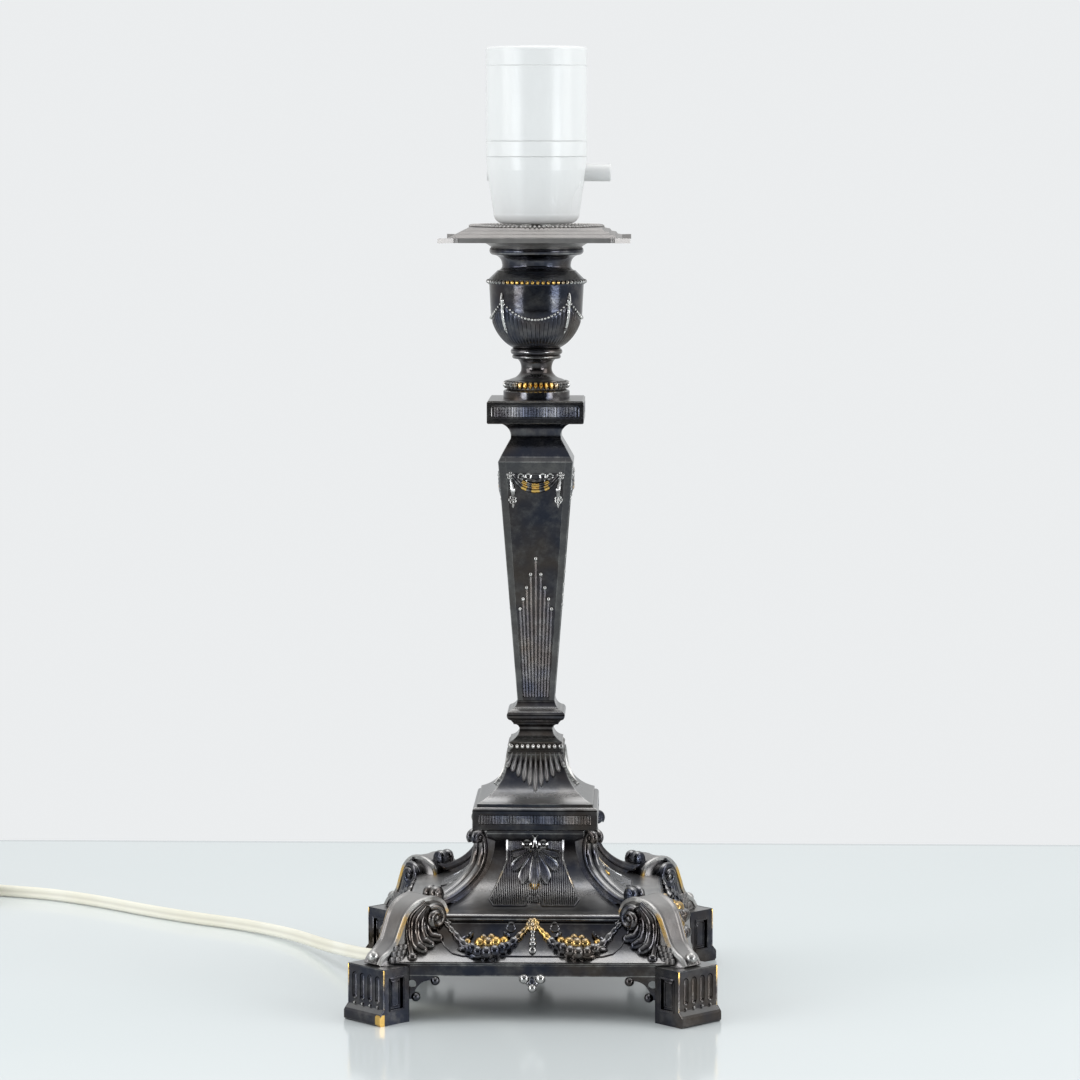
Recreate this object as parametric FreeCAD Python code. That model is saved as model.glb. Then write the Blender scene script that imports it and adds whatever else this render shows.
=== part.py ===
import FreeCAD, Part

import math
import os

V = FreeCAD.Vector
UP = V(0, 0, 1)
ORIGIN = V(0, 0, 0)
os.makedirs("parts", exist_ok=True)

# Millimetres. The lamp stands on z = 0 with its axis on Z; its front looks along -Y.
# "half" is half the width across the flats of a square moulding.

# ---- walls, clearances ----
wall = 1.2                 # sheet of the hollow square and round mouldings
thread_gap = 0.15          # radial, threaded tube in the holes it passes through
slip_gap = 0.1             # radial, plain parts pushed into one another

# ---- feet, set across the corners of the base ----
foot_height = 22.2
foot_width = 21.2
foot_depth = 13.1
foot_reach = 91.6          # axis to the fluted outer face, along the diagonal
lip_proud = 2.4
lip_height = 4.8
lip_ramp = 1.6
flute_radius = 1.5
flute_pitch = 4.5
flute_count = 4
flute_low = 8.3            # floor to the lowest point of a flute
flute_length = 11.0
foot_panel_depth = 0.8
foot_panel_border = 3.0
foot_panel_low = 5.6
foot_panel_high = 18.4

# ---- base shell: band, frieze, torus and the hollow skirt above them ----
band_half = 61.8
band_height = 4.3
ridge_proud = 0.6
ridge_height = 1.2
frieze_height = 13.4
frieze_top_half = 51.2
frieze_hollow = 1.3        # how far the frieze is drawn in at its middle
torus_half = 50.9
torus_height = 3.2
cove_radius = 27.0         # quarter-round hollow of the skirt
skirt_top_half = 19.5
skirt_top_height = 2.0

# ---- ornaments of the base ----
scroll_width = 7.4
scroll_groove = 1.1
scroll_proud = 2.6
scroll_knob = 3.0
knee_width = 11.0
knee_ball = 2.5
volute_radius = 6.2
volute_x = 39.1
volute_rise = 1.9          # eye above the frieze's upper edge
leaf_lobe_radius = 3.6
leaf_proud = 3.4
leaf_depth = 9.0           # thickness of a leaf beside the skirt
swag_rope_radius = 1.1
swag_fruit_radius = 3.0
swag_reach = 35.0          # axis to the outer end of a garland
swag_drop = 9.0
ring_radius = 2.0
ring_x = 9.5
tassel_length = 9.5
drop_ball = 2.05
drop_spacing = 6.6
bracket_thickness = 1.5
bracket_reach = 13.0
bracket_drop = 9.2
bracket_ball = 1.9
petal_length = 13.5
petal_width = 3.4
petal_angles = (0, 17, -17, 35, -35, 58, -58)
petal_proud = 1.0
palmette_drop = 4.5        # skirt top to the root of the petals
volute_pair_radius = 2.4

# ---- stem, from the skirt up ----
block_half = 24.95
block_height = 9.4
block_round = 1.6
block_panel_border = 2.7
block_panel_depth = 0.6
roof_height = 20.5
roof_foot_half = 23.2
roof_top_half = 11.3
roof_hollow = 3.6
fan_proud = 0.7
fan_width = 17.0
fan_length = 14.5
collar_height = 3.9
collar_half = 11.45
neck_height = 7.3
neck_half = 6.65
neck_top_half = 9.05
shaft_foot_height = 9.1
shaft_foot_half = 11.65
shaft_height = 98.2
shaft_low_half = 7.45
shaft_high_half = 14.9
shaft_bevel = 1.6
shaft_border = 3.0
shaft_panel_depth = 0.9
shaft_panel_top_border = 1.4
capital_height = 13.8
capital_neck_half = 10.1
cap_block_half = 19.2
cap_block_height = 9.1
cap_panel_border = 1.8

# ---- urn, drip pan ----
urn_plinth_radius = 13.3
urn_plinth_height = 3.4
urn_foot_height = 15.9
urn_foot_bead = 1.6
urn_foot_ring = 12.0
urn_waist_radius = 6.15
knop_height = 4.2
knop_radius = 10.35
urn_height = 25.6
urn_belly_height = 15.9
urn_low_radius = 9.3
urn_belly_radius = 18.4
urn_mouth_radius = 18.9
urn_ring_radius = 19.2
urn_bead = 1.1
swag_bead = 0.75
swag_beads = 17
urn_swag_drop = 6.0
urn_swag_high = 18.0       # urn bottom to the ends of its bead swags
collar_neck_radius = 13.8
collar_rise = 14.7
collar_ring_radius = 18.6
collar_ring_height = 3.1
pan_half = 34.0
pan_edge = 1.9
pan_plateau_half = 26.5
pan_rise = 3.8
pan_steps = 3
pan_hub_rise = 2.4
pan_hub_radius = 27.0
ear_tip = 37.6
ear_root = 30.5
ear_notch = 0.9
pan_ring_radius = 25.6
pan_bead = 0.8

# ---- threaded tube and its fastenings ----
tube_radius = 5.0
tube_bore = 3.8
tube_below = 15.0          # tube end below the top of the skirt
tube_into_holder = 9.0
clamp_half = 15.0
clamp_thickness = 2.0
nut_flats = 17.0
nut_height = 6.0
lock_nut_radius = 8.0
lock_nut_height = 1.2
bush_radius = 7.0
bush_height = 7.0
bush_bore = 2.8
bush_cup = 3.0

# ---- lampholder ----
holder_radius = 20.2
holder_low_radius = 17.2
holder_low_round = 4.2
lower_shell_height = 26.6
holder_wall = 2.0
spigot_height = 13.5
holder_ring_height = 6.3
seam = 0.1
jacket_height = 37.2
rim_height = 7.6
rim_bore = 14.6
rim_round = 1.4
entry_radius = 7.6
entry_height = 10.0
insert_radius = 15.8
insert_low = 15.0          # holder's seat to the underside of the insert
insert_disc = 7.5
thread_radius = 13.25      # root of the lamp socket's screw thread
thread_depth = 1.05
thread_pitch = 3.63
thread_turns = 6
thread_crest = 0.5         # flat on each crest
thread_start = 2.8         # plain length below the first turn
thread_flange = 1.5
thread_wall = 0.6
contact_width = 6.0
contact_thickness = 0.6
side_contact_half = 2.0
side_contact_foot = 2.4
side_contact_gap = 0.35    # clears the round flange at the foot's square corners
terminal_radius = 1.8
terminal_head = 1.4
terminal_sunk = 1.2
lead_radius = 0.9
lead_spread = 1.25
terminal_spacing = 22.0
grub_radius = 1.5
grub_length = 5.0

# ---- push-through switch ----
rod_radius = 3.5
rod_protrusion = 10.0
rod_travel = 9.0
rod_waist = 2.0
rod_end_round = 0.8
rod_gap = 0.1
rod_height = 20.3          # holder's seat to the rod's axis

# ---- cord, coil, plug ----
cord_width = 5.2
coil_inner_radius = 20.0
coil_turns_per_layer = 3.5
coil_pitch = 5.8
coil_layer = 5.85
coil_entry_angle = 75.5
coil_gap_run = 26.0        # straight run from the route's last point to the coil
coil_heading_turn = 6.0    # how far the cord turns as it runs onto the coil
floor_gap = 0.1
plug_width = 35.3
plug_thickness = 13.7
plug_length = 30.0
plug_round = 5.5
relief_length = 30.0
relief_radius = 4.6
relief_tip_radius = 2.9
relief_rings = 6
pin_radius = 2.0
pin_length = 19.0
pin_spacing = 18.8

# ---- heights where one piece stands on the next ----
z_band = foot_height - band_height
z_ridge = foot_height + ridge_height
z_frieze = z_ridge + frieze_height
z_torus = z_frieze + torus_height
z_cove = z_torus + cove_radius
z_skirt = z_cove + skirt_top_height
z_block = z_skirt + block_height
z_roof = z_block + roof_height
z_collar = z_roof + collar_height
z_neck = z_collar + neck_height
z_shaft_foot = z_neck + shaft_foot_height
z_shaft = z_shaft_foot + shaft_height
z_capital = z_shaft + capital_height
z_cap_block = z_capital + cap_block_height
z_urn_foot = z_cap_block + urn_foot_height
z_knop = z_urn_foot + knop_height
z_urn = z_knop + urn_height
z_belly = z_knop + urn_belly_height
z_collar_ring = z_urn + collar_rise
z_pan_under = z_collar_ring + pan_hub_rise
z_pan = z_pan_under + pan_edge + pan_rise
z_holder = z_pan + lock_nut_height
z_lower_shell = z_holder + lower_shell_height
z_ring = z_lower_shell + holder_ring_height
z_top = z_ring + jacket_height
cove_low_half = skirt_top_half + cove_radius
rod_waist_length = rod_travel + contact_width / 2
tube_low = z_skirt - tube_below
tube_high = z_holder + tube_into_holder
z_exit = tube_low - bush_height + bush_cup      # lower mouth of the bush, where the cord leaves

CORNERS = {"rear_right": 45, "rear_left": 135, "front_left": 225, "front_right": 315}


# ---- drawing helpers ----
def trace(steps):
    """Edges in the XZ plane: a point ends a line, a (middle, end) pair ends an arc."""
    edges = []
    here = V(steps[0][0], 0, steps[0][1])
    for step in steps[1:]:
        if isinstance(step[0], tuple):
            middle = V(step[0][0], 0, step[0][1])
            end = V(step[1][0], 0, step[1][1])
            edges.append(Part.Arc(here, middle, end).toShape())
        else:
            end = V(step[0], 0, step[1])
            edges.append(Part.LineSegment(here, end).toShape())
        here = end
    return edges


def closed(steps):
    """The outline led back to its first point."""
    last = steps[-1][1] if isinstance(steps[-1][0], tuple) else steps[-1]
    return steps if last == steps[0] else steps + [steps[0]]


def plate(steps, thickness, centre=0.0):
    """A closed XZ outline with a thickness along Y, centred on the given y."""
    face = Part.Face(Part.Wire(trace(closed(steps))))
    solid = face.extrude(V(0, thickness, 0))
    solid.translate(V(0, centre - thickness / 2, 0))
    return solid


def turned(steps):
    """A round piece: the closed outline of (radius, height) points spun about Z."""
    return Part.Face(Part.Wire(trace(closed(steps)))).revolve(ORIGIN, UP, 360)


def square_turned(steps):
    """A mitred square moulding: the same half profile seen from both sides."""
    side = Part.Wire(trace(steps))
    other = side.mirror(ORIGIN, V(1, 0, 0))
    face = Part.Face(Part.Wire(Part.__sortEdges__(side.Edges + other.Edges)))
    reach = 2 * side.BoundBox.XMax
    slab = face.extrude(V(0, 2 * reach, 0))
    slab.translate(V(0, -reach, 0))
    return slab.common(spun(slab, 90))


def spun(shape, angle):
    copy = shape.copy()
    copy.rotate(ORIGIN, UP, angle)
    return copy


def four_sides(shape):
    return [spun(shape, angle) for angle in (0, 90, 180, 270)]


def flipped(shape):
    """Mirror image across the YZ plane."""
    return shape.mirror(ORIGIN, V(1, 0, 0))


def cylinder(radius, start, end):
    span = end - start
    return Part.makeCylinder(radius, span.Length, start, span)


def bore(radius, low, high):
    return cylinder(radius, V(0, 0, low), V(0, 0, high))


def ball(radius, x, y, z):
    return Part.makeSphere(radius, V(x, y, z))


def box(x0, x1, y0, y1, z0, z1):
    return Part.makeBox(x1 - x0, y1 - y0, z1 - z0, V(x0, y0, z0))


def slope_prism(low, high, z_low, z_high):
    """Solid between two rectangles (x half, y near, y far) at two heights."""
    wires = []
    for (half, near, far), z in ((low, z_low), (high, z_high)):
        corners = [V(-half, near, z), V(half, near, z), V(half, far, z), V(-half, far, z)]
        wires.append(Part.makePolygon(corners + [corners[0]]))
    return Part.makeLoft(wires, True, True)


def save(name, *shapes):
    """Write one sub-part: each shape may hold one or more solids."""
    solids = [solid for shape in shapes for solid in shape.Solids]
    volume = sum(solid.Volume for solid in solids)
    good = all(solid.isValid() and solid.Volume > 0 for solid in solids)
    shape = solids[0] if len(solids) == 1 else Part.makeCompound(solids)
    shape.exportStep("parts/" + name + ".step")
    print(f"{name}: {len(solids)} solids, {volume:.0f} mm3", "" if good else "NOT VALID")


# ---- base shell ----
def frieze_half(z):
    """Half width of the sloping frieze at height z, along its chord."""
    share = (z - z_ridge) / frieze_height
    return band_half - 0.8 + share * (frieze_top_half - band_half + 0.8)


def frieze_bend(inset=0.0):
    """Middle point of the hollow frieze, moved inwards by the inset."""
    middle = z_ridge + frieze_height / 2
    return (frieze_half(middle) - 0.8 * (frieze_hollow + inset), middle - 0.6 * (frieze_hollow + inset))


def cove_bend(radius):
    """Middle point of the quarter round that hollows the skirt."""
    arm = radius * math.cos(math.radians(45))
    return (cove_low_half - arm, z_cove - arm)


def base_outside(proud=0.0):
    """The base as a full block, each flat moved outwards by proud."""
    cove = cove_bend(cove_radius)
    bend = frieze_bend()
    return square_turned([
        (0, z_band),
        (band_half + proud, z_band),
        (band_half + proud, foot_height),
        (band_half + ridge_proud + proud, foot_height + 0.3),
        (band_half + ridge_proud + proud, z_ridge - 0.2),
        (band_half - 0.8 + proud, z_ridge),
        ((bend[0] + proud, bend[1]), (frieze_top_half + proud, z_frieze)),
        (torus_half - 1.3 + proud, z_frieze + 0.2),
        ((torus_half + proud, z_frieze + torus_height / 2), (torus_half - 1.6 + proud, z_torus + 0.2)),
        (cove_low_half + proud, z_torus),
        ((cove[0] + proud, cove[1]), (skirt_top_half + proud, z_cove)),
        (skirt_top_half + proud, z_skirt),
        (0, z_skirt)])


def base_inside():
    """The hollow under the base, one wall inside it and closed under the skirt's top."""
    cove = cove_bend(cove_radius + wall)
    return square_turned([
        (0, z_band - 1),
        (band_half - wall, z_band - 1),
        (band_half - wall, z_ridge - wall / 2),
        (frieze_bend(wall), (frieze_top_half - wall, z_frieze - wall)),
        (torus_half - 1.3 - wall, z_frieze),
        (torus_half - 1.6 - wall, z_torus - wall),
        (cove_low_half, z_torus - wall),
        (cove, (skirt_top_half - wall, z_cove)),
        (skirt_top_half - wall, z_skirt - wall),
        (0, z_skirt - wall)])


base_block = base_outside()


def foot_blank():
    """One foot in its own frame: x runs out along the diagonal of the base."""
    inner = foot_reach - foot_depth
    lip = foot_reach + lip_proud
    return plate([
        (inner, 0), (lip - 0.8, 0), (lip, 0.8), (lip, lip_height - 0.9), (lip - 0.6, lip_height),
        (foot_reach, lip_height + lip_ramp), (foot_reach, foot_height), (inner, foot_height)], foot_width)


def foot():
    solid = foot_blank()
    for index in range(flute_count):
        y = (index - (flute_count - 1) / 2) * flute_pitch
        x = foot_reach + 0.3
        low = flute_low + flute_radius
        high = low + flute_length - 2 * flute_radius
        groove = cylinder(flute_radius, V(x, y, low), V(x, y, high))
        groove = groove.fuse([ball(flute_radius, x, y, low), ball(flute_radius, x, y, high)])
        solid = solid.cut(groove)
    start = foot_reach - foot_depth + foot_panel_border
    end = foot_reach - foot_panel_border
    for side in (-1, 1):
        y = side * foot_width / 2
        panel = box(start, end, y - foot_panel_depth, y + foot_panel_depth, foot_panel_low, foot_panel_high)
        solid = solid.cut(panel)
    return solid


def make_base():
    feet = {name: spun(foot(), angle) for name, angle in CORNERS.items()}
    blanks = [spun(foot_blank(), angle) for angle in CORNERS.values()]
    shell = base_block.cut(base_inside()).cut(Part.makeCompound(blanks))
    shell = shell.cut(bore(tube_radius + thread_gap, z_cove, z_skirt + 1))
    save("base_shell", shell)
    for name, solid in feet.items():
        save("foot_" + name, solid)
    return feet


# ---- ornaments on the corners, drawn in the diagonal plane ----
def on_diagonal(half):
    """Distance from the axis to the corner of a square of this half width."""
    return half * math.sqrt(2)


def scroll():
    """Double-ridged scroll that covers one corner edge of the skirt."""
    top = on_diagonal(skirt_top_half + scroll_proud)
    low = on_diagonal(skirt_top_half + cove_radius * 0.82)
    body = plate([
        (top - 8, z_skirt), (top + 2.2, z_skirt), (top - 0.8, z_cove - 4.5),
        ((top + 2.6, z_cove - 13.4), (low - 12.2, z_torus + 5.5)),
        ((low - 6.5, z_torus + 2.7), (low - 0.5, z_torus + 2.2)),
        (low + 1.5, z_torus + 1.6), (low + 1.5, z_torus - 2), (top - 8, z_torus - 2)], scroll_width)
    knob = cylinder(scroll_knob, V(top + 0.6, -scroll_width / 2, z_skirt - scroll_knob),
                    V(top + 0.6, scroll_width / 2, z_skirt - scroll_knob))
    curl = cylinder(scroll_knob, V(low - 0.6, -scroll_width / 2, z_torus + scroll_knob + 1.5),
                    V(low - 0.6, scroll_width / 2, z_torus + scroll_knob + 1.5))
    body = body.fuse([knob, curl])
    groove = plate([
        (top + 8, z_skirt + 1), (top + 1.1, z_skirt + 1), (top - 1.9, z_cove - 4.5),
        ((top + 1.6, z_cove - 13.8), (low - 12.8, z_torus + 4.6)),
        ((low - 6.5, z_torus + 1.6), (low + 12, z_torus + 1.1)),
        (low + 12, z_torus + 9), (low - 6, z_torus + 9), (top + 8, z_cove - 6)], scroll_groove)
    return body.cut(groove)


def knee():
    """Strut from the scroll's curl down to the top of a foot, ending in a ball."""
    tail = foot_reach - 3.6
    body = plate([
        (56, foot_height), (58.5, z_torus + 2.8), (61.2, z_torus + 4.2),
        ((65.8, z_torus + 6.8), (71.5, z_torus + 4.4)),
        ((75.6, z_torus + 0.4), (77.2, z_torus - 3.8)),
        ((79.4, z_torus - 9.4), (tail - 3, foot_height + 3.4)),
        (tail + 1.5, foot_height + 1.2), (tail + 1.5, foot_height)], knee_width)
    return body.fuse(ball(knee_ball, tail, 0, foot_height + 1.0 + knee_ball))


def leaf_outline():
    """Comma-shaped acanthus leaf of one flank, on the front face right of the middle."""
    eye = z_frieze + volute_rise
    lobe_x = volute_x + 2.0
    lobe_z = eye - 8.4
    body = plate([
        (volute_x, eye + volute_radius), (volute_x + 7.6, eye + 5.0),
        ((volute_x + 11.2, eye - 3), (volute_x + 11.0, z_ridge + 2.4)),
        (lobe_x, lobe_z - leaf_lobe_radius), (volute_x, eye)], 40, -50)
    eye_disc = cylinder(volute_radius, V(volute_x, -70, eye), V(volute_x, -30, eye))
    lobe = cylinder(leaf_lobe_radius, V(lobe_x, -70, lobe_z), V(lobe_x, -30, lobe_z))
    return body.fuse([eye_disc, lobe])


def leaf_envelope():
    """Everything nearer the axis than the carved front of the leaves."""
    front = frieze_top_half + leaf_proud
    return square_turned([
        (0, z_band), (band_half + leaf_proud, z_band), (band_half + leaf_proud, z_ridge),
        (front, z_frieze + 1), (front - 1.6, z_frieze + volute_rise + volute_radius + 1),
        (0, z_frieze + volute_rise + volute_radius + 1)])


def make_corners():
    scroll_blank = scroll().cut(spun(base_block, -45))
    scroll_blank = scroll_blank.common(Part.makeBox(200, 200, 200, V(0, -100, z_torus - 4)))
    knee_blank = knee().cut([spun(base_block, -45), scroll_blank])
    knee_blank = largest(knee_blank)
    scroll_blank = largest(scroll_blank)
    knees = []
    scrolls = []
    for name, angle in CORNERS.items():
        scrolls.append(spun(scroll_blank, angle))
        save("scroll_" + name, scrolls[-1])
        knees.append(spun(knee_blank, angle))
        save("knee_" + name, knees[-1])
    front = frieze_top_half + leaf_proud
    behind = box(-band_half, band_half, leaf_depth - front, band_half, 0, z_skirt)
    leaf = leaf_outline().common(leaf_envelope()).cut(behind)
    pair = [leaf, flipped(leaf)]
    leaves = []
    for side in range(4):
        for shape in pair:
            cut = spun(shape, 90 * side).cut([base_block] + knees + scrolls)
            leaves.append(largest(cut))
    save("acanthus_leaves", *leaves)
    return leaves


def largest(shape):
    return max(shape.Solids, key=lambda solid: solid.Volume)


# ---- ornaments on the four faces ----
def frieze_point(x, z):
    return V(x, -frieze_half(z), z)


def sweep(edge, radius):
    """Round rod along one arc or line."""
    start = edge.valueAt(edge.FirstParameter)
    tangent = edge.tangentAt(edge.FirstParameter)
    ring = Part.Wire(Part.makeCircle(radius, start, tangent))
    return Part.Wire(edge).makePipeShell([ring], True, False)


def garland():
    """One garland of a frieze face: a rope with a bunch of fruit at its middle."""
    high = z_frieze - 0.6
    inner = 2.6
    middle = (inner + swag_reach) / 2
    ends = frieze_point(inner, high), frieze_point(middle, high - swag_drop), frieze_point(swag_reach, high)
    arc = Part.Arc(*ends)
    rope = sweep(arc.toShape(), swag_rope_radius)
    span = arc.LastParameter - arc.FirstParameter
    thick = [arc.value(arc.FirstParameter + span * share) for share in (0.28, 0.5, 0.76)]
    part = Part.Arc(*thick)
    fruit = sweep(part.toShape(), swag_fruit_radius)
    caps = [ball(swag_fruit_radius, *part.value(p)) for p in (part.FirstParameter, part.LastParameter)]
    return rope.fuse([fruit] + caps)


def frieze_ornaments(leaves):
    """Two garlands, two rings and the tassel of one frieze face."""
    swag = largest(garland().cut([base_block] + leaves))
    high = z_frieze - 0.8
    y = -frieze_half(high)
    shapes = [swag, flipped(swag)]
    for side in (-1, 1):
        ring = Part.makeTorus(ring_radius, 0.6, V(side * ring_x, y, high), V(0, -1, 0.8))
        shapes.append(largest(ring.cut([base_block] + shapes)))
    foot_point = frieze_point(0, high - tassel_length)
    tassel = Part.makeCone(0.7, 2.3, tassel_length, frieze_point(0, high), foot_point - frieze_point(0, high))
    shapes.append(largest(tassel.cut([base_block] + shapes)))
    return shapes


def trefoil():
    """Three small balls that hang from the middle of the band."""
    y = -band_half + 0.6
    top = z_band - 0.8
    low = top - 3.3
    half = drop_spacing / 2
    web = plate([(-half, z_band), (half, z_band), (0, low)], 1.2, y)
    drops = web.fuse([ball(drop_ball, -half, y, top), ball(drop_ball, half, y, top),
                      ball(drop_ball - 0.15, 0, y, low)])
    return largest(drops.cut(base_block))


def corner_bracket():
    """Fretted bracket between the band and a foot, with a ball at each horn."""
    far = foot_root_x() - 0.1
    near = far - bracket_reach
    low = z_band - bracket_drop
    y = -band_half + bracket_thickness / 2 + 0.2
    web = plate([
        (near, z_band), (far, z_band), (far, low), (far - 4.5, low),
        ((far - 6.0, z_band - 4.0), (near, z_band - 2.0))], bracket_thickness, y)
    horn_low = ball(bracket_ball, far - 5.0, y, low + 0.8)
    horn_high = ball(bracket_ball, near + 0.4, y, z_band - bracket_ball - 0.1)
    opening = cylinder(1.6, V(far - 3.6, y - 5, z_band - 3.2), V(far - 3.6, y + 5, z_band - 3.2))
    return web.fuse([horn_low, horn_high]).cut([opening, base_block])


def foot_root_x():
    """Where the band's front plane meets the inner face of a foot."""
    return (foot_reach - foot_depth) * math.sqrt(2) - band_half + bracket_thickness


def palmette():
    """Seven petals and a pair of small volutes on one face of the skirt."""
    root = z_skirt - palmette_drop
    parts = []
    for angle in petal_angles:
        length = petal_length * (1 - abs(angle) / 170)
        petal = Part.makeCylinder(petal_width / 2, 60, V(0, -60, 0), V(0, 1, 0))
        matrix = FreeCAD.Matrix()
        matrix.scale(V(1, 1, length / petal_width))
        petal = petal.transformGeometry(matrix)
        petal.translate(V(0, 0, root - length / 2))
        petal.rotate(V(0, 0, root), V(0, 1, 0), angle)
        parts.append(petal)
    for side in (-1, 1):
        centre = side * (volute_pair_radius + 0.4)
        parts.append(cylinder(volute_pair_radius, V(centre, -60, root + 1), V(centre, 0, root + 1)))
    fan = parts[0].fuse(parts[1:])
    skin = base_outside(petal_proud).cut(base_block)
    return largest(fan.common(skin).common(box(-30, 30, -60, -10, z_torus + 1, z_skirt)))


def make_faces(feet, leaves):
    save("base_garlands", *[shape for item in frieze_ornaments(leaves) for shape in four_sides(item)])
    save("trefoil_drops", *four_sides(trefoil()))
    bracket = corner_bracket().cut(Part.makeCompound(list(feet.values())))
    bracket = largest(bracket)
    save("corner_brackets", *(four_sides(bracket) + four_sides(flipped(bracket))))
    save("palmettes", *four_sides(palmette()))


# ---- stem ----
def hollow_square(outline, inner, name, extra_cuts=()):
    solid = square_turned(outline).cut(square_turned(inner))
    if extra_cuts:
        solid = solid.cut(list(extra_cuts))
    save(name, solid)
    return solid


def make_pedestal():
    panel_x = block_half - block_panel_border
    panel = box(-panel_x, panel_x, -block_half - 1, -block_half + block_panel_depth,
                z_skirt + block_panel_border - 0.5, z_block - block_panel_border)
    turn = block_half - block_round
    edge = block_round * (1 - math.cos(math.radians(45)))
    hollow_square(
        [(0, z_skirt), (block_half - 0.5, z_skirt), (block_half, z_skirt + 0.5),
         (block_half, z_block - block_round),
         ((block_half - edge, z_block - edge), (turn, z_block)), (0, z_block)],
        [(0, z_skirt + wall), (block_half - 2 * wall, z_skirt + wall),
         (block_half - 2 * wall, z_block - 2 * wall), (turn - 2 * wall, z_block + 1), (0, z_block + 1)],
        "pedestal_block", four_sides(panel) + [bore(tube_radius + thread_gap, z_skirt - 1, z_block)])
    outline = roof_outline(0.0)
    inner = [(0, z_block - 1)] + roof_outline(-wall)[1:-1]
    inner += [(roof_top_half - wall, z_roof + 1), (0, z_roof + 1)]
    inner[1] = (roof_foot_half - wall, z_block - 1)
    roof = hollow_square(outline, inner, "pedestal_roof")
    skin = square_turned(roof_outline(fan_proud)).cut(square_turned(outline))
    fan = plate([(-fan_width / 2, z_roof - 5.8), (-roof_top_half + 1, z_roof), (roof_top_half - 1, z_roof),
                 (fan_width / 2, z_roof - 5.8), (0, z_roof - fan_length)], 40, -20)
    relief = largest(fan.common(skin).common(box(-30, 30, -40, -8, z_block, z_roof)))
    save("roof_fans", *four_sides(relief))
    return roof


def roof_outline(proud):
    """Concave pyramid above the pedestal block, moved outwards by proud."""
    middle_half = (roof_foot_half + roof_top_half) / 2 - 0.82 * roof_hollow + proud
    middle_z = (z_block + 1.2 + z_roof - 1.4) / 2 - 0.57 * roof_hollow
    return [(0, z_block), (roof_foot_half + proud, z_block), (roof_foot_half + proud, z_block + 1.2),
            ((middle_half, middle_z), (roof_top_half + proud, z_roof - 1.4)),
            (roof_top_half + proud, z_roof), (0, z_roof)]


def make_shaft():
    hole = bore(tube_radius + thread_gap, z_roof - 1, z_collar + 30)
    collar = square_turned([
        (0, z_roof), (collar_half - 0.9, z_roof), (collar_half - 0.9, z_roof + 0.6),
        ((collar_half, z_roof + collar_height / 2), (collar_half - 0.9, z_collar - 0.5)),
        (collar_half - 0.6, z_collar), (0, z_collar)])
    save("bead_collar", collar.cut(hole))
    neck = square_turned([
        (0, z_collar), (collar_half - 0.9, z_collar),
        ((neck_half + 1.4, z_collar + 1.5), (neck_half, z_collar + neck_height * 0.62)),
        ((neck_half + 0.5, z_neck - 1.3), (neck_top_half, z_neck - 0.4)),
        (neck_top_half, z_neck), (0, z_neck)])
    save("stem_neck", neck.cut(hole))
    foot_piece = square_turned([
        (0, z_neck), (neck_top_half, z_neck), (neck_top_half + 1, z_neck + 1.3),
        ((shaft_foot_half, z_neck + 3.4), (shaft_foot_half - 1, z_neck + 5.1)),
        (shaft_foot_half - 1.7, z_neck + 5.4),
        ((shaft_low_half + 1.1, z_shaft_foot - 2.6), (shaft_low_half + 0.2, z_shaft_foot - 0.8)),
        (shaft_low_half, z_shaft_foot), (0, z_shaft_foot)])
    save("shaft_foot", foot_piece.cut(hole))
    top = z_shaft - shaft_bevel
    slope = (shaft_high_half - shaft_low_half) / (top - z_shaft_foot)

    def half_at(z):
        return shaft_low_half + slope * (z - z_shaft_foot)

    low = z_shaft_foot + shaft_border * 0.4
    high = top - shaft_border - shaft_panel_top_border
    panel = slope_prism(
        (half_at(low) - shaft_border * 0.7, -half_at(low) - 2, -half_at(low) + shaft_panel_depth),
        (half_at(high) - shaft_border, -half_at(high) - 2, -half_at(high) + shaft_panel_depth), low, high)
    shaft = hollow_square(
        [(0, z_shaft_foot), (shaft_low_half, z_shaft_foot), (shaft_high_half, top),
         (shaft_high_half - shaft_bevel * 0.5, z_shaft), (0, z_shaft)],
        [(0, z_shaft_foot - 1), (half_at(z_shaft_foot) - 2 * wall, z_shaft_foot - 1),
         (half_at(z_shaft_foot) - 2 * wall, z_shaft_foot), (shaft_high_half - 2 * wall, z_shaft + 1),
         (0, z_shaft + 1)],
        "shaft", four_sides(panel) + [bore(tube_radius + thread_gap, z_shaft_foot - 1, z_shaft)])

    def panel_floor(z):
        return -half_at(z) + shaft_panel_depth

    make_shaft_ornaments(half_at, panel_floor, low, high, shaft)


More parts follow.
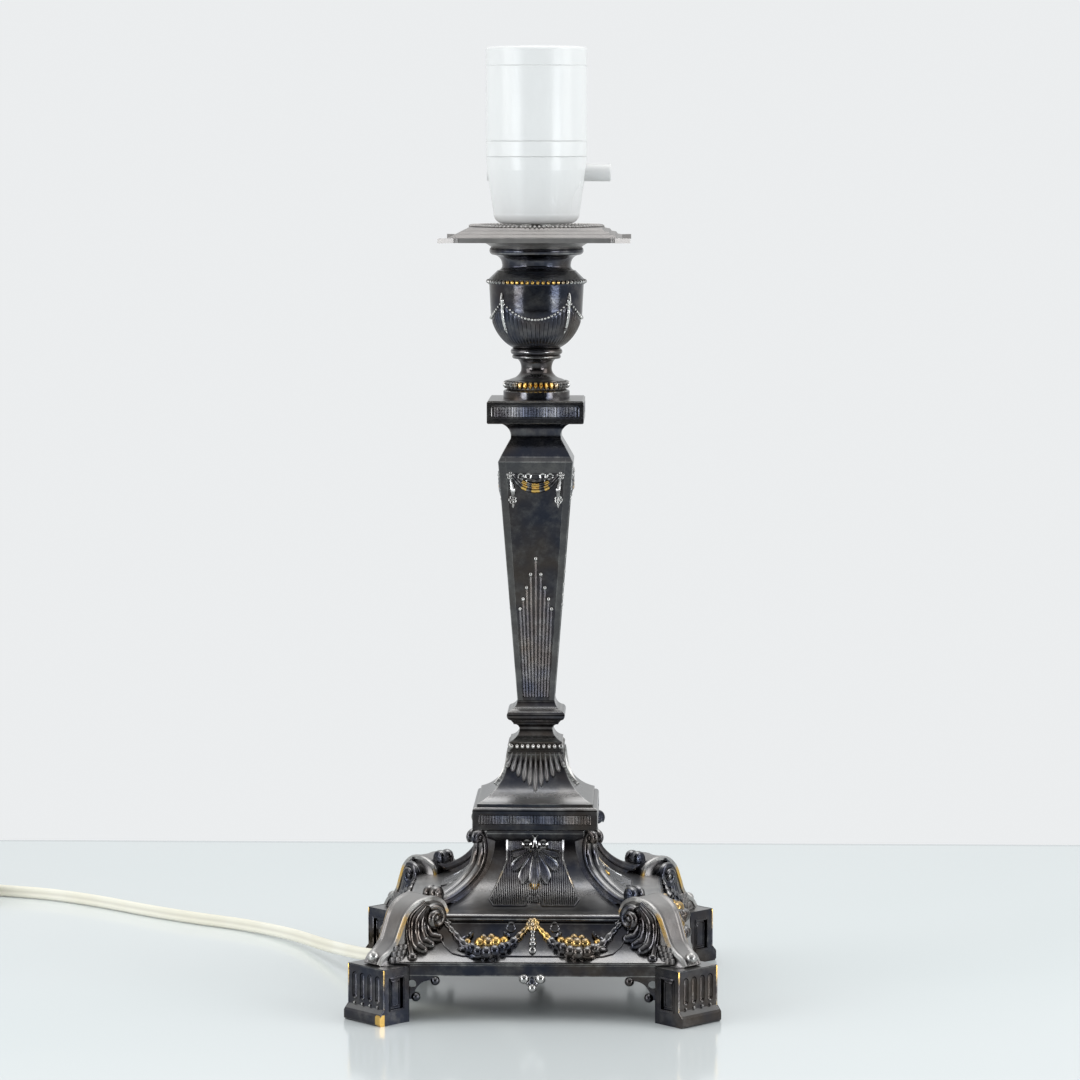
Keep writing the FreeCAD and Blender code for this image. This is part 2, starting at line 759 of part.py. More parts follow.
def make_shaft_ornaments(half_at, panel_floor, low, high, shaft):
    """Garland at the head of each panel and the reeds that fill its foot."""
    swag_top = high - 2.2
    side_x = half_at(high) - shaft_border - 2.2
    ends = [V(-side_x, panel_floor(swag_top) - 0.6, swag_top),
            V(0, panel_floor(swag_top - 8) - 0.6, swag_top - 8),
            V(side_x, panel_floor(swag_top) - 0.6, swag_top)]
    rope = sweep(Part.Arc(*ends).toShape(), 1.5)
    drops = []
    for side in (-1, 1):
        start = V(side * side_x, panel_floor(swag_top) - 0.3, swag_top)
        end = V(side * side_x * 0.9, panel_floor(swag_top - 15) - 0.1, swag_top - 15)
        drops.append(cylinder(1.1, start, end))
        drops.append(ball(1.7, start.x, start.y, start.z))
    garland_solid = rope.fuse(drops)
    save("shaft_garlands", *[largest(s.cut(shaft)) for s in four_sides(garland_solid)])
    reeds = []
    pitch = 1.5
    heads = (58.0, 51.5, 46.0, 41.5, 37.5)
    for index, head in enumerate(heads):
        for side in ((1,) if index == 0 else (-1, 1)):
            x_top = side * index * pitch * 1.22
            x_low = side * index * pitch * 0.62
            z_high = low + head
            start = V(x_low, panel_floor(low + 0.3), low + 0.3)
            end = V(x_top, panel_floor(z_high), z_high)
            reeds.append(cylinder(0.55, start, end))
            reeds.append(ball(0.9, end.x, end.y, end.z))
    bundle = reeds[0].fuse(reeds[1:])
    panels = []
    for side_shape in four_sides(bundle):
        panels.append(side_shape.cut(shaft))
    save("shaft_reeds", *panels)


def make_capital():
    outline = [
        (0, z_shaft), (shaft_high_half - shaft_bevel * 0.5, z_shaft),
        ((capital_neck_half + 1.7, z_shaft + 4.2), (capital_neck_half, z_shaft + 7.2)),
        ((capital_neck_half + 0.7, z_capital - 2.6), (capital_neck_half + 4.6, z_capital)), (0, z_capital)]
    inner = [
        (0, z_shaft - 1), (shaft_high_half - 2 * wall, z_shaft - 1),
        (shaft_high_half - 2 * wall, z_shaft), (capital_neck_half - wall, z_shaft + 6.4),
        (capital_neck_half - wall, z_capital - 3.4),
        (capital_neck_half + 1.6, z_capital + 1), (0, z_capital + 1)]
    hollow_square(outline, inner, "capital")
    panel_x = cap_block_half - cap_panel_border
    panel = box(-panel_x, panel_x, -cap_block_half - 1, -cap_block_half + block_panel_depth,
                z_capital + cap_panel_border + 0.4, z_cap_block - cap_panel_border)
    hollow_square(
        [(0, z_capital), (cap_block_half - 0.4, z_capital), (cap_block_half, z_capital + 0.4),
         (cap_block_half, z_cap_block - 0.6), (cap_block_half - 0.6, z_cap_block), (0, z_cap_block)],
        [(0, z_capital + wall), (cap_block_half - 2 * wall, z_capital + wall),
         (cap_block_half - 2 * wall, z_cap_block - wall), (0, z_cap_block - wall)],
        "capital_block", four_sides(panel) + [bore(tube_radius + thread_gap, z_capital - 1, z_cap_block + 1)])


# ---- urn and drip pan ----
def urn_radius(z):
    """Outer radius of the urn body: an arc that stands upright at the belly, a cone above it."""
    if z >= z_belly:
        return urn_belly_radius + (urn_mouth_radius - urn_belly_radius) * (z - z_belly) / (z_urn - z_belly)
    rise = z_belly - z_knop
    spread = urn_belly_radius - urn_low_radius
    bend = (spread ** 2 + rise ** 2) / (2 * spread)
    return urn_belly_radius - bend + math.sqrt(bend ** 2 - (z_belly - z) ** 2)


def urn_bead_at(z, angle):
    """Half a bead whose flat lies on the urn, square to its surface."""
    lean = urn_radius(z + 0.5) - urn_radius(z - 0.5)
    radius = urn_radius(z)
    centre = V(radius * math.cos(angle), radius * math.sin(angle), z)
    return Part.makeSphere(swag_bead, centre, V(math.cos(angle), math.sin(angle), -lean), 0, 90, 360)


def urn_outline(inset, low):
    bend = z_knop + urn_height * 0.22
    return [(0, low), (urn_radius(low) - inset, low),
            ((urn_radius(bend) - inset, bend), (urn_belly_radius - inset, z_belly)),
            (urn_mouth_radius - inset, z_urn), (0, z_urn)]


def make_urn():
    hole = bore(tube_radius + thread_gap, z_cap_block - 1, z_pan + 10)
    bead_z = z_cap_block + urn_plinth_height + urn_foot_bead + 0.6
    foot_piece = turned([
        (0, z_cap_block), (urn_plinth_radius, z_cap_block),
        (urn_plinth_radius, z_cap_block + urn_plinth_height - 0.4),
        (urn_plinth_radius - 0.8, z_cap_block + urn_plinth_height),
        (urn_foot_ring, z_cap_block + urn_plinth_height + 0.4),
        ((urn_foot_ring + urn_foot_bead, bead_z), (urn_foot_ring, bead_z + urn_foot_bead)),
        (urn_foot_ring - 1.5, bead_z + urn_foot_bead + 0.5),
        ((urn_waist_radius + 1.3, bead_z + urn_foot_bead + 1.9), (urn_waist_radius, bead_z + 6.0)),
        ((urn_waist_radius + 0.3, z_urn_foot - 1.6), (urn_waist_radius + 1.8, z_urn_foot)), (0, z_urn_foot)])
    save("urn_foot", foot_piece.cut(hole))
    knop = turned([
        (0, z_urn_foot), (knop_radius - 1.4, z_urn_foot),
        ((knop_radius - 0.6, z_urn_foot + 0.8), (knop_radius - 1.2, z_urn_foot + 1.6)),
        ((knop_radius, z_urn_foot + 2.9), (knop_radius - 1.2, z_knop)), (0, z_knop)])
    save("urn_knop", knop.cut(hole))
    outside = turned(urn_outline(0, z_knop))
    inner = urn_outline(wall, z_knop + wall)[:-1] + [(urn_mouth_radius - wall, z_urn + 1), (0, z_urn + 1)]
    inner[-3] = (urn_mouth_radius - wall, z_urn)
    save("urn_body", outside.cut(turned(inner)).cut(hole))
    ring = turned([
        (urn_mouth_radius - 2 * wall, z_urn), (urn_ring_radius, z_urn),
        ((urn_ring_radius + urn_bead, z_urn + urn_bead), (urn_ring_radius, z_urn + 2 * urn_bead)),
        (urn_mouth_radius - 2 * wall, z_urn + 2 * urn_bead)])
    save("urn_bead_ring", ring)
    beads = []
    high = z_knop + urn_swag_high
    for quarter in range(4):
        for index in range(swag_beads):
            share = 2 * index / (swag_beads - 1) - 1
            angle = math.radians(90 * quarter + 270 + 42 * share)
            beads.append(urn_bead_at(high - urn_swag_drop * (1 - share ** 2), angle))
    save("urn_swags", *beads)
    z0 = z_urn + 2 * urn_bead
    narrow = z_urn + collar_rise * 0.55
    ring_low = z_collar_ring - collar_ring_height
    collar = turned([
        (urn_mouth_radius - 2 * wall, z0), (urn_mouth_radius, z0), (collar_neck_radius + 1.8, z0 + 3.2),
        ((collar_neck_radius + 0.2, z0 + 4.2), (collar_neck_radius, narrow)),
        ((collar_neck_radius + 0.8, ring_low - 1.4), (collar_ring_radius - 1.6, ring_low)),
        ((collar_ring_radius, ring_low + 0.9), (collar_ring_radius - 0.5, z_collar_ring)),
        (collar_neck_radius - wall, z_collar_ring), (collar_neck_radius - wall, z0 + 4.6)])
    save("urn_collar", collar)


def pan_profile(drop):
    """Stepped slope of the pan from its plateau to its edge, lowered by drop."""
    run = (pan_half - pan_plateau_half) / pan_steps
    fall = pan_rise / pan_steps
    points = [(pan_plateau_half, z_pan - drop)]
    for step in range(pan_steps):
        half = pan_plateau_half + run * (step + 1)
        z = z_pan - fall * (step + 1) - drop
        points.append((half - run * 0.72, z + fall * 0.25))
        points.append((half, z))
    return points


def make_pan():
    outline = [(0, z_pan_under), (pan_half, z_pan_under)] + pan_profile(0)[::-1] + [(0, z_pan)]
    plate_solid = square_turned(outline)
    under = square_turned([(0, z_pan_under - 1), (pan_half - 3, z_pan_under - 1), (pan_half - 3, z_pan_under),
                           (pan_plateau_half - wall, z_pan - 1.4), (0, z_pan - 1.4)])
    ears = []
    for angle in CORNERS.values():
        tip = V(ear_tip, ear_tip, z_pan_under)
        corners = [V(ear_root - 4, ear_root - 4, z_pan_under), V(pan_half - 0.6, ear_root, z_pan_under), tip,
                   V(ear_root, pan_half - 0.6, z_pan_under)]
        face = Part.Face(Part.makePolygon(corners + [corners[0]]))
        ears.append(spun(face.extrude(V(0, 0, pan_edge)), angle - 45))
    notches = []
    for angle in CORNERS.values():
        for x, y in ((pan_half, ear_root), (ear_root, pan_half)):
            notch = cylinder(ear_notch, V(x, y, z_pan_under - 1), V(x, y, z_pan + 1))
            notches.append(spun(notch, angle - 45))
    top = plate_solid.cut(under).fuse(ears).cut(notches)
    hub = turned([
        (collar_ring_radius - 1.2, z_collar_ring), (collar_ring_radius - 0.6, z_collar_ring),
        ((collar_ring_radius + 2.4, z_pan_under - 0.6), (pan_hub_radius, z_pan_under)),
        (pan_hub_radius + 3.5, z_pan_under), (pan_hub_radius + 3.5, z_pan_under + 0.8),
        (collar_ring_radius - 1.2, z_pan_under + 0.8)])
    floor_plate = turned([(0, z_collar_ring), (collar_ring_radius - 1.2, z_collar_ring),
                          (collar_ring_radius - 1.2, z_collar_ring + wall), (0, z_collar_ring + wall)])
    pan = top.fuse([hub, floor_plate]).cut(bore(tube_radius + thread_gap, z_collar_ring - 1, z_pan + 1))
    save("drip_pan", pan)
    ring = turned([
        (pan_ring_radius - pan_bead, z_pan), (pan_ring_radius + pan_bead, z_pan),
        ((pan_ring_radius, z_pan + pan_bead), (pan_ring_radius - pan_bead, z_pan))])
    save("pan_bead_ring", ring)


# ---- threaded tube and what clamps the stack on it ----
def hexagon(flats, height, z):
    radius = flats / math.sqrt(3)
    corners = [V(radius * math.cos(math.radians(60 * k)), radius * math.sin(math.radians(60 * k)), z)
               for k in range(6)]
    return Part.Face(Part.makePolygon(corners + [corners[0]])).extrude(V(0, 0, height))


def make_fastenings():
    pipe = bore(tube_radius, tube_low, tube_high)
    save("threaded_tube", pipe.cut(bore(tube_bore, tube_low - 1, tube_high + 1)))
    hole = bore(tube_radius + thread_gap, 0, z_top)
    clamp_low = z_skirt - wall - clamp_thickness
    save("clamp_plate", box(-clamp_half, clamp_half, -clamp_half, clamp_half,
                            clamp_low, z_skirt - wall).cut(hole))
    save("bottom_nut", hexagon(nut_flats, nut_height, clamp_low - nut_height).cut(hole))
    save("pan_lock_nut", bore(lock_nut_radius, z_pan, z_holder).cut(hole))
    rim = tube_low + bush_cup
    bush = turned([
        (bush_bore, z_exit), (bush_radius - 2, z_exit), (bush_radius, z_exit + 2), (bush_radius, rim),
        (tube_radius + slip_gap, rim), (tube_radius + slip_gap, tube_low), (bush_bore, tube_low)])
    save("tube_bush", bush)


# ---- lampholder ----
def make_holder():
    inner = holder_radius - holder_wall
    spigot = inner - slip_gap
    low_inner = holder_low_radius - holder_wall
    rod_bore = cylinder(rod_radius + rod_gap, V(-2 * holder_radius, 0, z_holder + rod_height),
                        V(2 * holder_radius, 0, z_holder + rod_height))
    round_cut = holder_low_round * (1 - math.cos(math.radians(45)))
    shell = turned([
        (0, z_holder), (holder_low_radius - holder_low_round, z_holder),
        ((holder_low_radius - round_cut, z_holder + round_cut),
         (holder_low_radius, z_holder + holder_low_round)),
        (holder_radius - 0.4, z_holder + lower_shell_height * 0.8), (holder_radius, z_lower_shell - seam),
        (spigot, z_lower_shell - seam), (spigot, z_lower_shell + spigot_height),
        (spigot - 1.6, z_lower_shell + spigot_height), (insert_radius + 0.15, z_lower_shell),
        (insert_radius + 0.15, z_holder + insert_low), (low_inner, z_holder + holder_low_round + 1),
        (low_inner - 2, z_holder + 2.4), (entry_radius, z_holder + 2.4),
        (entry_radius, z_holder + entry_height),
        (0, z_holder + entry_height)])
    entry = bore(tube_radius + thread_gap, z_holder - 1, z_holder + entry_height + 1)
    grub_z = z_holder + entry_height * 0.62
    grub_hole = cylinder(grub_radius + 0.05, V(0, -entry_radius - 1, grub_z), V(0, -tube_radius, grub_z))
    save("holder_lower_shell", shell.cut([entry, rod_bore, grub_hole]))
    save("grub_screw", cylinder(grub_radius, V(0, -tube_radius - grub_length, grub_z),
                                V(0, -tube_radius - 0.05, grub_z)))
    save("holder_ring", turned([
        (inner, z_lower_shell), (holder_radius - 0.2, z_lower_shell), (holder_radius, z_lower_shell + 0.3),
        (holder_radius, z_ring - 0.3 - seam), (holder_radius - 0.2, z_ring - seam), (inner, z_ring - seam)]))
    rim = z_top - rim_height
    edge = rim_round * (1 - math.cos(math.radians(45)))
    save("holder_jacket", turned([
        (inner, z_ring), (holder_radius, z_ring), (holder_radius, rim - 0.3), (holder_radius - 0.3, rim),
        (holder_radius, rim + 0.3), (holder_radius, z_top - rim_round),
        ((holder_radius - edge, z_top - edge), (holder_radius - rim_round, z_top)),
        (rim_bore + rim_round, z_top), ((rim_bore + edge, z_top - edge), (rim_bore, z_top - rim_round)),
        (rim_bore, rim), (inner - 0.6, rim - 1.2), (inner - 0.6, z_lower_shell + spigot_height + 1.5),
        (inner, z_lower_shell + spigot_height + 0.8)]))
    disc_low = z_lower_shell + 1.2
    disc_high = disc_low + insert_disc
    insert = turned([
        (0, z_holder + insert_low), (insert_radius, z_holder + insert_low), (insert_radius, disc_high),
        (0, disc_high)])
    terminal_holes = []
    screws = []
    for side in (-1, 1):
        x = side * terminal_spacing / 2
        start = V(x, 0, z_holder + insert_low)
        sunk = start + UP * terminal_sunk
        terminal_holes.append(cylinder(terminal_radius + slip_gap, start - UP, sunk))
        screws.append(cylinder(terminal_radius, start - UP * terminal_head, sunk))
    leaf_slot = box(-contact_width / 2 - 0.2, contact_width / 2 + 0.2, rod_radius + rod_gap - 0.4,
                    rod_radius + rod_gap + contact_thickness + 0.6, z_holder + insert_low - 1,
                    z_holder + rod_height + rod_radius)
    save("insulating_insert", insert.cut(terminal_holes + [rod_bore, leaf_slot]))
    save("terminal_screws", *screws)
    y = rod_radius + rod_gap
    save("switch_contact", box(-contact_width / 2, contact_width / 2, y, y + contact_thickness,
                               z_holder + insert_low - 0.8, z_holder + rod_height + rod_radius))
    save("switch_rod", switch_rod())
    make_socket(disc_high)


def switch_rod():
    """Bar pushed through from side to side, narrowed where the contact rides."""
    z = z_holder + rod_height
    left = -(holder_radius - 0.4)
    right = holder_radius - 0.4 + rod_protrusion
    rod = cylinder(rod_radius, V(left, 0, z), V(right, 0, z))
    rims = [edge for edge in rod.Edges if edge.isClosed() and edge.Length > math.pi * rod_radius]
    rod = rod.makeFillet(rod_end_round, rims)
    waist = cylinder(rod_radius + 1, V(-rod_waist_length / 2, 0, z), V(rod_waist_length / 2, 0, z))
    waist = waist.cut(cylinder(rod_waist, V(-rod_waist_length, 0, z), V(rod_waist_length, 0, z)))
    return rod.cut(waist)


def thread_ring(radius, z):
    """One turn of the rolled thread: a rounded flank in to the crest's flat, and one back out."""
    crest = radius - thread_depth
    flank = (thread_pitch - thread_crest) / 2
    bulge = radius - 0.7 * thread_depth
    top = z + thread_pitch
    return [((bulge, z + flank / 2), (crest, z + flank)), (crest, top - flank),
            ((bulge, top - flank / 2), (radius, top))]


def make_socket(floor):
    """Screw shell of the lamp socket with its two spring contacts."""
    low = floor + thread_wall
    outer = thread_radius + thread_wall
    flange = thread_radius - thread_flange
    steps = [(outer, floor), (outer, low + thread_start)]
    inner = [(thread_radius, low), (thread_radius, low + thread_start)]
    for turn in range(thread_turns):
        z = low + thread_start + turn * thread_pitch
        steps += thread_ring(outer, z)
        inner += thread_ring(thread_radius, z)
    save("thread_shell", turned(steps + reversed_steps(inner) + [(flange, low), (flange, floor)]))
    half = contact_width / 2
    spring = plate([(-half - 2, floor), (half, floor), ((half + 0.9, floor + 1.2), (half, floor + 2.4)),
                    (-half + 1, floor + 3.4), (-half + 1, floor + 2.8), (half - 0.4, floor + 1.9),
                    ((half + 0.1, floor + 1.2), (half - 0.4, floor + 0.6)), (-half - 2, floor + 0.6)],
                   contact_width)
    save("centre_contact", spring)
    far = flange - side_contact_gap
    near = far - side_contact_foot
    side = box(-side_contact_half, side_contact_half, near, near + contact_thickness, floor, floor + 4)
    side = side.fuse(box(-side_contact_half, side_contact_half, near, far, floor, floor + contact_thickness))
    save("side_contact", side)


def reversed_steps(steps):
    """The same outline walked from its last point back to its first."""
    points = []
    for index in range(len(steps) - 1, -1, -1):
        step = steps[index]
        end = step[1] if isinstance(step[0], tuple) else step
        if not points:
            points.append(end)
        previous = steps[index - 1] if index else None
        if previous is None:
            break
        start = previous[1] if isinstance(previous[0], tuple) else previous
        points.append((step[0], start) if isinstance(step[0], tuple) else start)
    return points


# ---- cord ----
# Points chosen by hand, in order from the bush under the tube to the coil off to the left.
cord_route = [
    V(0, 0, z_exit),
    V(0, 0, 34.5),
    V(-8, 1, 20.2),
    V(-23, 3, 11.8),
    V(-42, 5, 10.4),
    V(-59, 11, 10.0),
    V(-72, 22, 9.2),
    V(-82, 40, 7.4),
    V(-92, 62, 5.0),
    V(-107, 92, 3.2),
    V(-131, 116, 2.7),
    V(-155, 130, 2.7),
    V(-179, 148, 2.7),
    V(-203, 169, 2.7),
    V(-228, 185, 2.7),
    V(-254, 193, 2.7),
]


def coil_point(turn):
    """Spiral in on the floor, climb a layer in half a turn, spiral out on top."""
    distance = abs(turn)
    if distance < 0.25:
        grow = 2 * turn * turn + 0.125
        lift = turn / 0.25
        rise = 0.5 + 0.75 * lift - 0.25 * lift ** 3
    else:
        grow = distance
        rise = 0.0 if turn < 0 else 1.0
    radius = coil_inner_radius + coil_pitch * grow
    angle = math.radians(coil_entry_angle + 360 * (turn + coil_turns_per_layer))
    height = cord_width / 2 + floor_gap + coil_layer * rise
    return V(radius * math.cos(angle), radius * math.sin(angle), height)


def coil_tangent(turn):
    step = 1e-4
    return (coil_point(turn + step) - coil_point(turn - step)).normalize()


def biarc(start, start_way, end, end_way):
    """Two tangent arcs from one point and direction to the next."""
    gap = end - start
    both = start_way + end_way
    a = 2 * (1 - start_way.dot(end_way))
    b = 2 * gap.dot(both)
    c = -gap.dot(gap)
    reach = (-b + math.sqrt(b * b - 4 * a * c)) / (2 * a) if a > 1e-9 else -c / b
    first = start + start_way * reach
    second = end - end_way * reach
    join = (first + second) * 0.5
    return [arc_from(start, start_way, join), arc_from(join, second - first, end)]


def arc_from(start, way, end):
    """Arc that leaves start along way and ends at end; a line where it is straight."""
    way = V(way).normalize()
    chord = end - start
    across = chord - way * chord.dot(way)
    if across.Length < 1e-6:
        return Part.LineSegment(start, end).toShape()
    radius = chord.dot(chord) / (2 * across.Length)
    centre = start + V(across).normalize() * radius
    out = ((start - centre) + (end - centre)).normalize()
    sign = 1 if chord.dot(way) > 0 or across.Length < radius else -1
    return Part.Arc(start, centre + out * radius * sign, end).toShape()


def rounded_route(points):
    """Straight runs joined by arcs, each as large as its two runs allow."""
    edges = []
    radii = []
    here = points[0]
    for index in range(1, len(points) - 1):
        before, corner, after = points[index - 1:index + 2]
        into = V(corner - before)
        out = V(after - corner)
        short = min(into.Length, out.Length)
        into.normalize()
        out.normalize()
        turn = into.getAngle(out)
        radius = 0.45 * short / math.tan(turn / 2)
        radii.append(radius)
        begin = corner - into * 0.45 * short
        end = corner + out * 0.45 * short
        edges.append(Part.LineSegment(here, begin).toShape())
        edges.append(arc_from(begin, into, end))
        here = end
    edges.append(Part.LineSegment(here, points[-1]).toShape())
    return edges, radii


def tube_along(edges, radius):
    path = Part.Wire(edges)
    start = edges[0].valueAt(edges[0].FirstParameter)
    way = edges[0].tangentAt(edges[0].FirstParameter)
    ring = Part.Wire(Part.makeCircle(radius, start, way))
    return path.makePipeShell([ring], True, False), path.Length


def make_coil():
    """The coil in its own frame about Z; returns its solid, ends and directions."""
    turns = coil_turns_per_layer
    count = int(round(8 * turns))
    stops = [-turns + index / 4 for index in range(count + 1)]
    edges = []
    way_in = coil_tangent(-turns)
    way_out = coil_tangent(turns)
    lead_in = coil_point(-turns) - way_in * cord_width
    lead_out = coil_point(turns) + way_out * cord_width
    edges.append(Part.LineSegment(lead_in, coil_point(-turns)).toShape())
    for low, high in zip(stops[:-1], stops[1:]):
        edges += biarc(coil_point(low), coil_tangent(low), coil_point(high), coil_tangent(high))
    edges.append(Part.LineSegment(coil_point(turns), lead_out).toShape())
    solid, length = tube_along(edges, cord_width / 2)
    report_gap(turns)
    return solid, length, lead_in, way_in, lead_out, way_out


def report_gap(turns):
    samples = 1400
    points = [coil_point(-turns + 2 * turns * k / samples) for k in range(samples + 1)]
    apart = int(samples / (2 * turns) * 0.6)
    least = min(points[i].distanceToPoint(points[j])
                for i in range(0, samples, 4) for j in range(i + apart, samples + 1, 2))
    print(f"coil: least gap to itself {least - cord_width:.2f} mm")


def make_cord():
    coil, coil_length, lead_in, way_in, lead_out, way_out = make_coil()
    last = cord_route[-1]
    previous = cord_route[-2]
    heading = math.degrees(math.atan2(last.y - previous.y, last.x - previous.x))
    turn = heading - math.degrees(math.atan2(way_in.y, way_in.x)) - coil_heading_turn

    def placed(shape):
        copy = spun(shape, turn)
        copy.translate(shift)
        return copy

    spin = FreeCAD.Rotation(UP, turn)
    run_in = spin.multVec(way_in)
    entry = last + V(run_in.x, run_in.y, 0) * coil_gap_run
    shift = entry - spin.multVec(lead_in)
    shift.z = 0
    route = cord_route + [V(entry.x, entry.y, last.z)]
    edges, radii = rounded_route(route)
    free, free_length = tube_along(edges, cord_width / 2)
    section = math.pi * (cord_width / 2) ** 2
    print("cord radii:", " ".join(f"{r:.0f}" for r in radii))
    print(f"cord free {free_length:.0f} mm, volume share {free.Volume / section / free_length:.4f}")
    print(f"coil {coil_length:.0f} mm, volume share {coil.Volume / section / coil_length:.4f}")
    print(f"coil centre {shift.x:.2f} {shift.y:.2f}, turned {turn:.2f}, entry {entry.x:.2f} {entry.y:.2f}")
    save("cord_free", free)
    save("cord_coil", placed(coil))
    make_plug(spin.multVec(lead_out) + shift, spin.multVec(way_out))


def make_plug(tail, way):
    """Flat two-pin plug lying on the floor; its relief sinks to it from the coil's upper end."""
    angle = math.degrees(math.atan2(way.y, way.x))
    sink = tail.z - plug_thickness / 2 - floor_gap
    rings = []
    for index in range(relief_rings):
        share = index / (relief_rings - 1)
        radius = relief_tip_radius + share * share * (relief_radius - relief_tip_radius)
        centre = V(share * relief_length, 0, -sink * (3 - 2 * share) * share * share)
        rings.append(Part.Wire(Part.makeCircle(radius, centre, V(1, 0, 0))))
    relief = Part.makeLoft(rings, True, False)
    end = relief_length + plug_length
    body = box(relief_length, end, -plug_width / 2, plug_width / 2,
               -plug_thickness / 2 - sink, plug_thickness / 2 - sink)
    shoulders = [edge for edge in body.Edges
                 if abs(edge.CenterOfMass.x - relief_length) < 0.01 and abs(edge.CenterOfMass.y) > 1]
    whole = body.makeFillet(plug_round, shoulders).fuse(relief)
    pins = []
    for side in (-1, 1):
        y = side * pin_spacing / 2
        pins.append(cylinder(pin_radius, V(end, y, -sink), V(end + pin_length, y, -sink)))
    for shape in [whole] + pins:
        shape.rotate(ORIGIN, UP, angle)
        shape.translate(tail)
    save("plug_body", whole)
    save("plug_pins", *pins)


def make_inner_leads():
    """Cord held inside the tube and the two cores that reach the terminals."""
    top = tube_high + 0.5
    save("cord_in_tube", cylinder(cord_width / 2, V(0, 0, z_exit), V(0, 0, top)))
    cores = []
    screw_low = z_holder + insert_low - terminal_head
    for side in (-1, 1):
        z = screw_low - lead_radius - slip_gap
        points = [V(side * lead_spread, 0, top), V(side * lead_spread, 0, z),
                  V(side * (terminal_spacing / 2 + terminal_radius), 0, z)]
        edges, _ = rounded_route(points)
        core, _ = tube_along(edges, lead_radius)
        cores.append(core)
    save("lead_cores", *cores)


feet_solids = make_base()
make_faces(feet_solids, make_corners())
make_pedestal()
make_shaft()
make_capital()
make_urn()
make_pan()
make_fastenings()
make_holder()
make_inner_leads()
make_cord()
print(f"total height {z_top:.1f} mm, holder seat {z_holder:.1f}, skirt top {z_skirt:.1f}")
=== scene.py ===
"""Looks of the candlestick lamp: tarnished silver plate over brass, white plastic, a flat white cord."""
import math
from collections import namedtuple

import bmesh
import bpy
import numpy as np
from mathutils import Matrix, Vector


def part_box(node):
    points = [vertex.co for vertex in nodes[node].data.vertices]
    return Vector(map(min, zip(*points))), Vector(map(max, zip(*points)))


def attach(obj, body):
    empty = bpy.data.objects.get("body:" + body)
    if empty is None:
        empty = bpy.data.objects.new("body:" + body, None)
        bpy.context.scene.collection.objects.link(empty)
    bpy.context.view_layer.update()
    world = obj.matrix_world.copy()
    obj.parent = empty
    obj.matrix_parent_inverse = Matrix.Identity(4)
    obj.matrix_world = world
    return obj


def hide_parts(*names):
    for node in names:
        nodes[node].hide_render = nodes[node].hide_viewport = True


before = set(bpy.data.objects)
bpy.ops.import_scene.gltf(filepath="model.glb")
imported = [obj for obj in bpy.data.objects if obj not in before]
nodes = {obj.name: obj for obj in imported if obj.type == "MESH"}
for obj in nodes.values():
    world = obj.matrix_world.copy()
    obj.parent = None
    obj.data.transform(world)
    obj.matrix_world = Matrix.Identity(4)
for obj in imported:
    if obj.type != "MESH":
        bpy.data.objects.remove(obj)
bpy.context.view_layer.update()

MM = 0.001                 # shapes are drawn in millimetres and scaled once, in make()
WELD = 2e-6                # metres, points nearer than this are one point
FACES = (0, 90, 180, 270)
CORNERS = {"rear_right": 45, "rear_left": 135, "front_left": 225, "front_right": 315}
FRONT = (0.0, -1.0, 0.0)
COVE_OUT = (0.0, -0.7, 0.7)


def span(node, axis=2):
    """Lowest and highest coordinate of a CAD node along an axis, in millimetres."""
    low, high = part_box(node)
    return low[axis] / MM, high[axis] / MM


# ---- heights and half widths, from the frame ----
z_band, z_skirt = span("base_shell")
z_block = span("pedestal_block")[1]
z_roof = span("pedestal_roof")[1]
z_collar = span("bead_collar")[1]
z_shaft_foot, z_shaft = span("shaft")
z_capital, z_cap_block = span("capital_block")
z_urn_foot = span("urn_foot")[1]
z_knop, z_urn = span("urn_body")
z_pan = span("pan_bead_ring")[0]
block_half = span("pedestal_block", 0)[1]
cap_block_half = span("capital_block", 0)[1]
foot_top = span("foot_front_left")[1]

band_half = 61.8
z_ridge = foot_top + 1.2
z_frieze = z_ridge + 13.4
z_torus = z_frieze + 3.2
z_cove = z_torus + 27.0
frieze_foot_half = band_half - 0.8
frieze_top_half = 51.2
frieze_hollow = 1.6
cove_radius = 27.0
cove_far = 46.5
foot_reach = 91.6
foot_width = 21.2
flute_pitch = 4.5
roof_low = (23.2, z_block + 1.2)
roof_middle = (14.3, z_block + 8.1)
roof_high = (11.3, z_roof - 1.4)
shaft_low_half = 7.45
shaft_slope = 0.0771
panel_depth = 0.9
urn_low_radius = 9.3
urn_belly_radius = 18.4
urn_mouth_radius = 18.9
z_belly = z_knop + 15.9
urn_ring_radius = 19.2
swag_high = z_knop + 18.0
swag_drop = 6.0
pan_ring_radius = 25.6

# ---- cord ----
cord_width = 5.2
cord_thickness = 2.9
cord_lean = math.radians(72)
coil_centre = (-299.36, 168.55)
coil_turned = -9.91
coil_inner = 20.0
coil_turns = 7.0
coil_pitch = 5.8
coil_layer = 5.85
coil_entry_angle = 75.5
relief_length = 30.0
plug_length = 30.0
plug_width = 35.3
plug_thickness = 13.7
plug_round = 1.2
plug_floor = 0.1


# ---- skins: points, four-sided faces, and how worn and how brassy each point is; on the cord the worn value is painted shade in the groove between its cores ----
Skin = namedtuple("Skin", "points faces wear brass")


def quads(index):
    """Four-sided faces between neighbours in a grid of point numbers."""
    return np.stack([index[:-1, :-1], index[1:, :-1], index[1:, 1:], index[:-1, 1:]], -1).reshape(-1, 4)


def spread(value, shape):
    """One value to each point of a grid, as a flat array."""
    return np.broadcast_to(np.asarray(value, float), shape).reshape(-1)


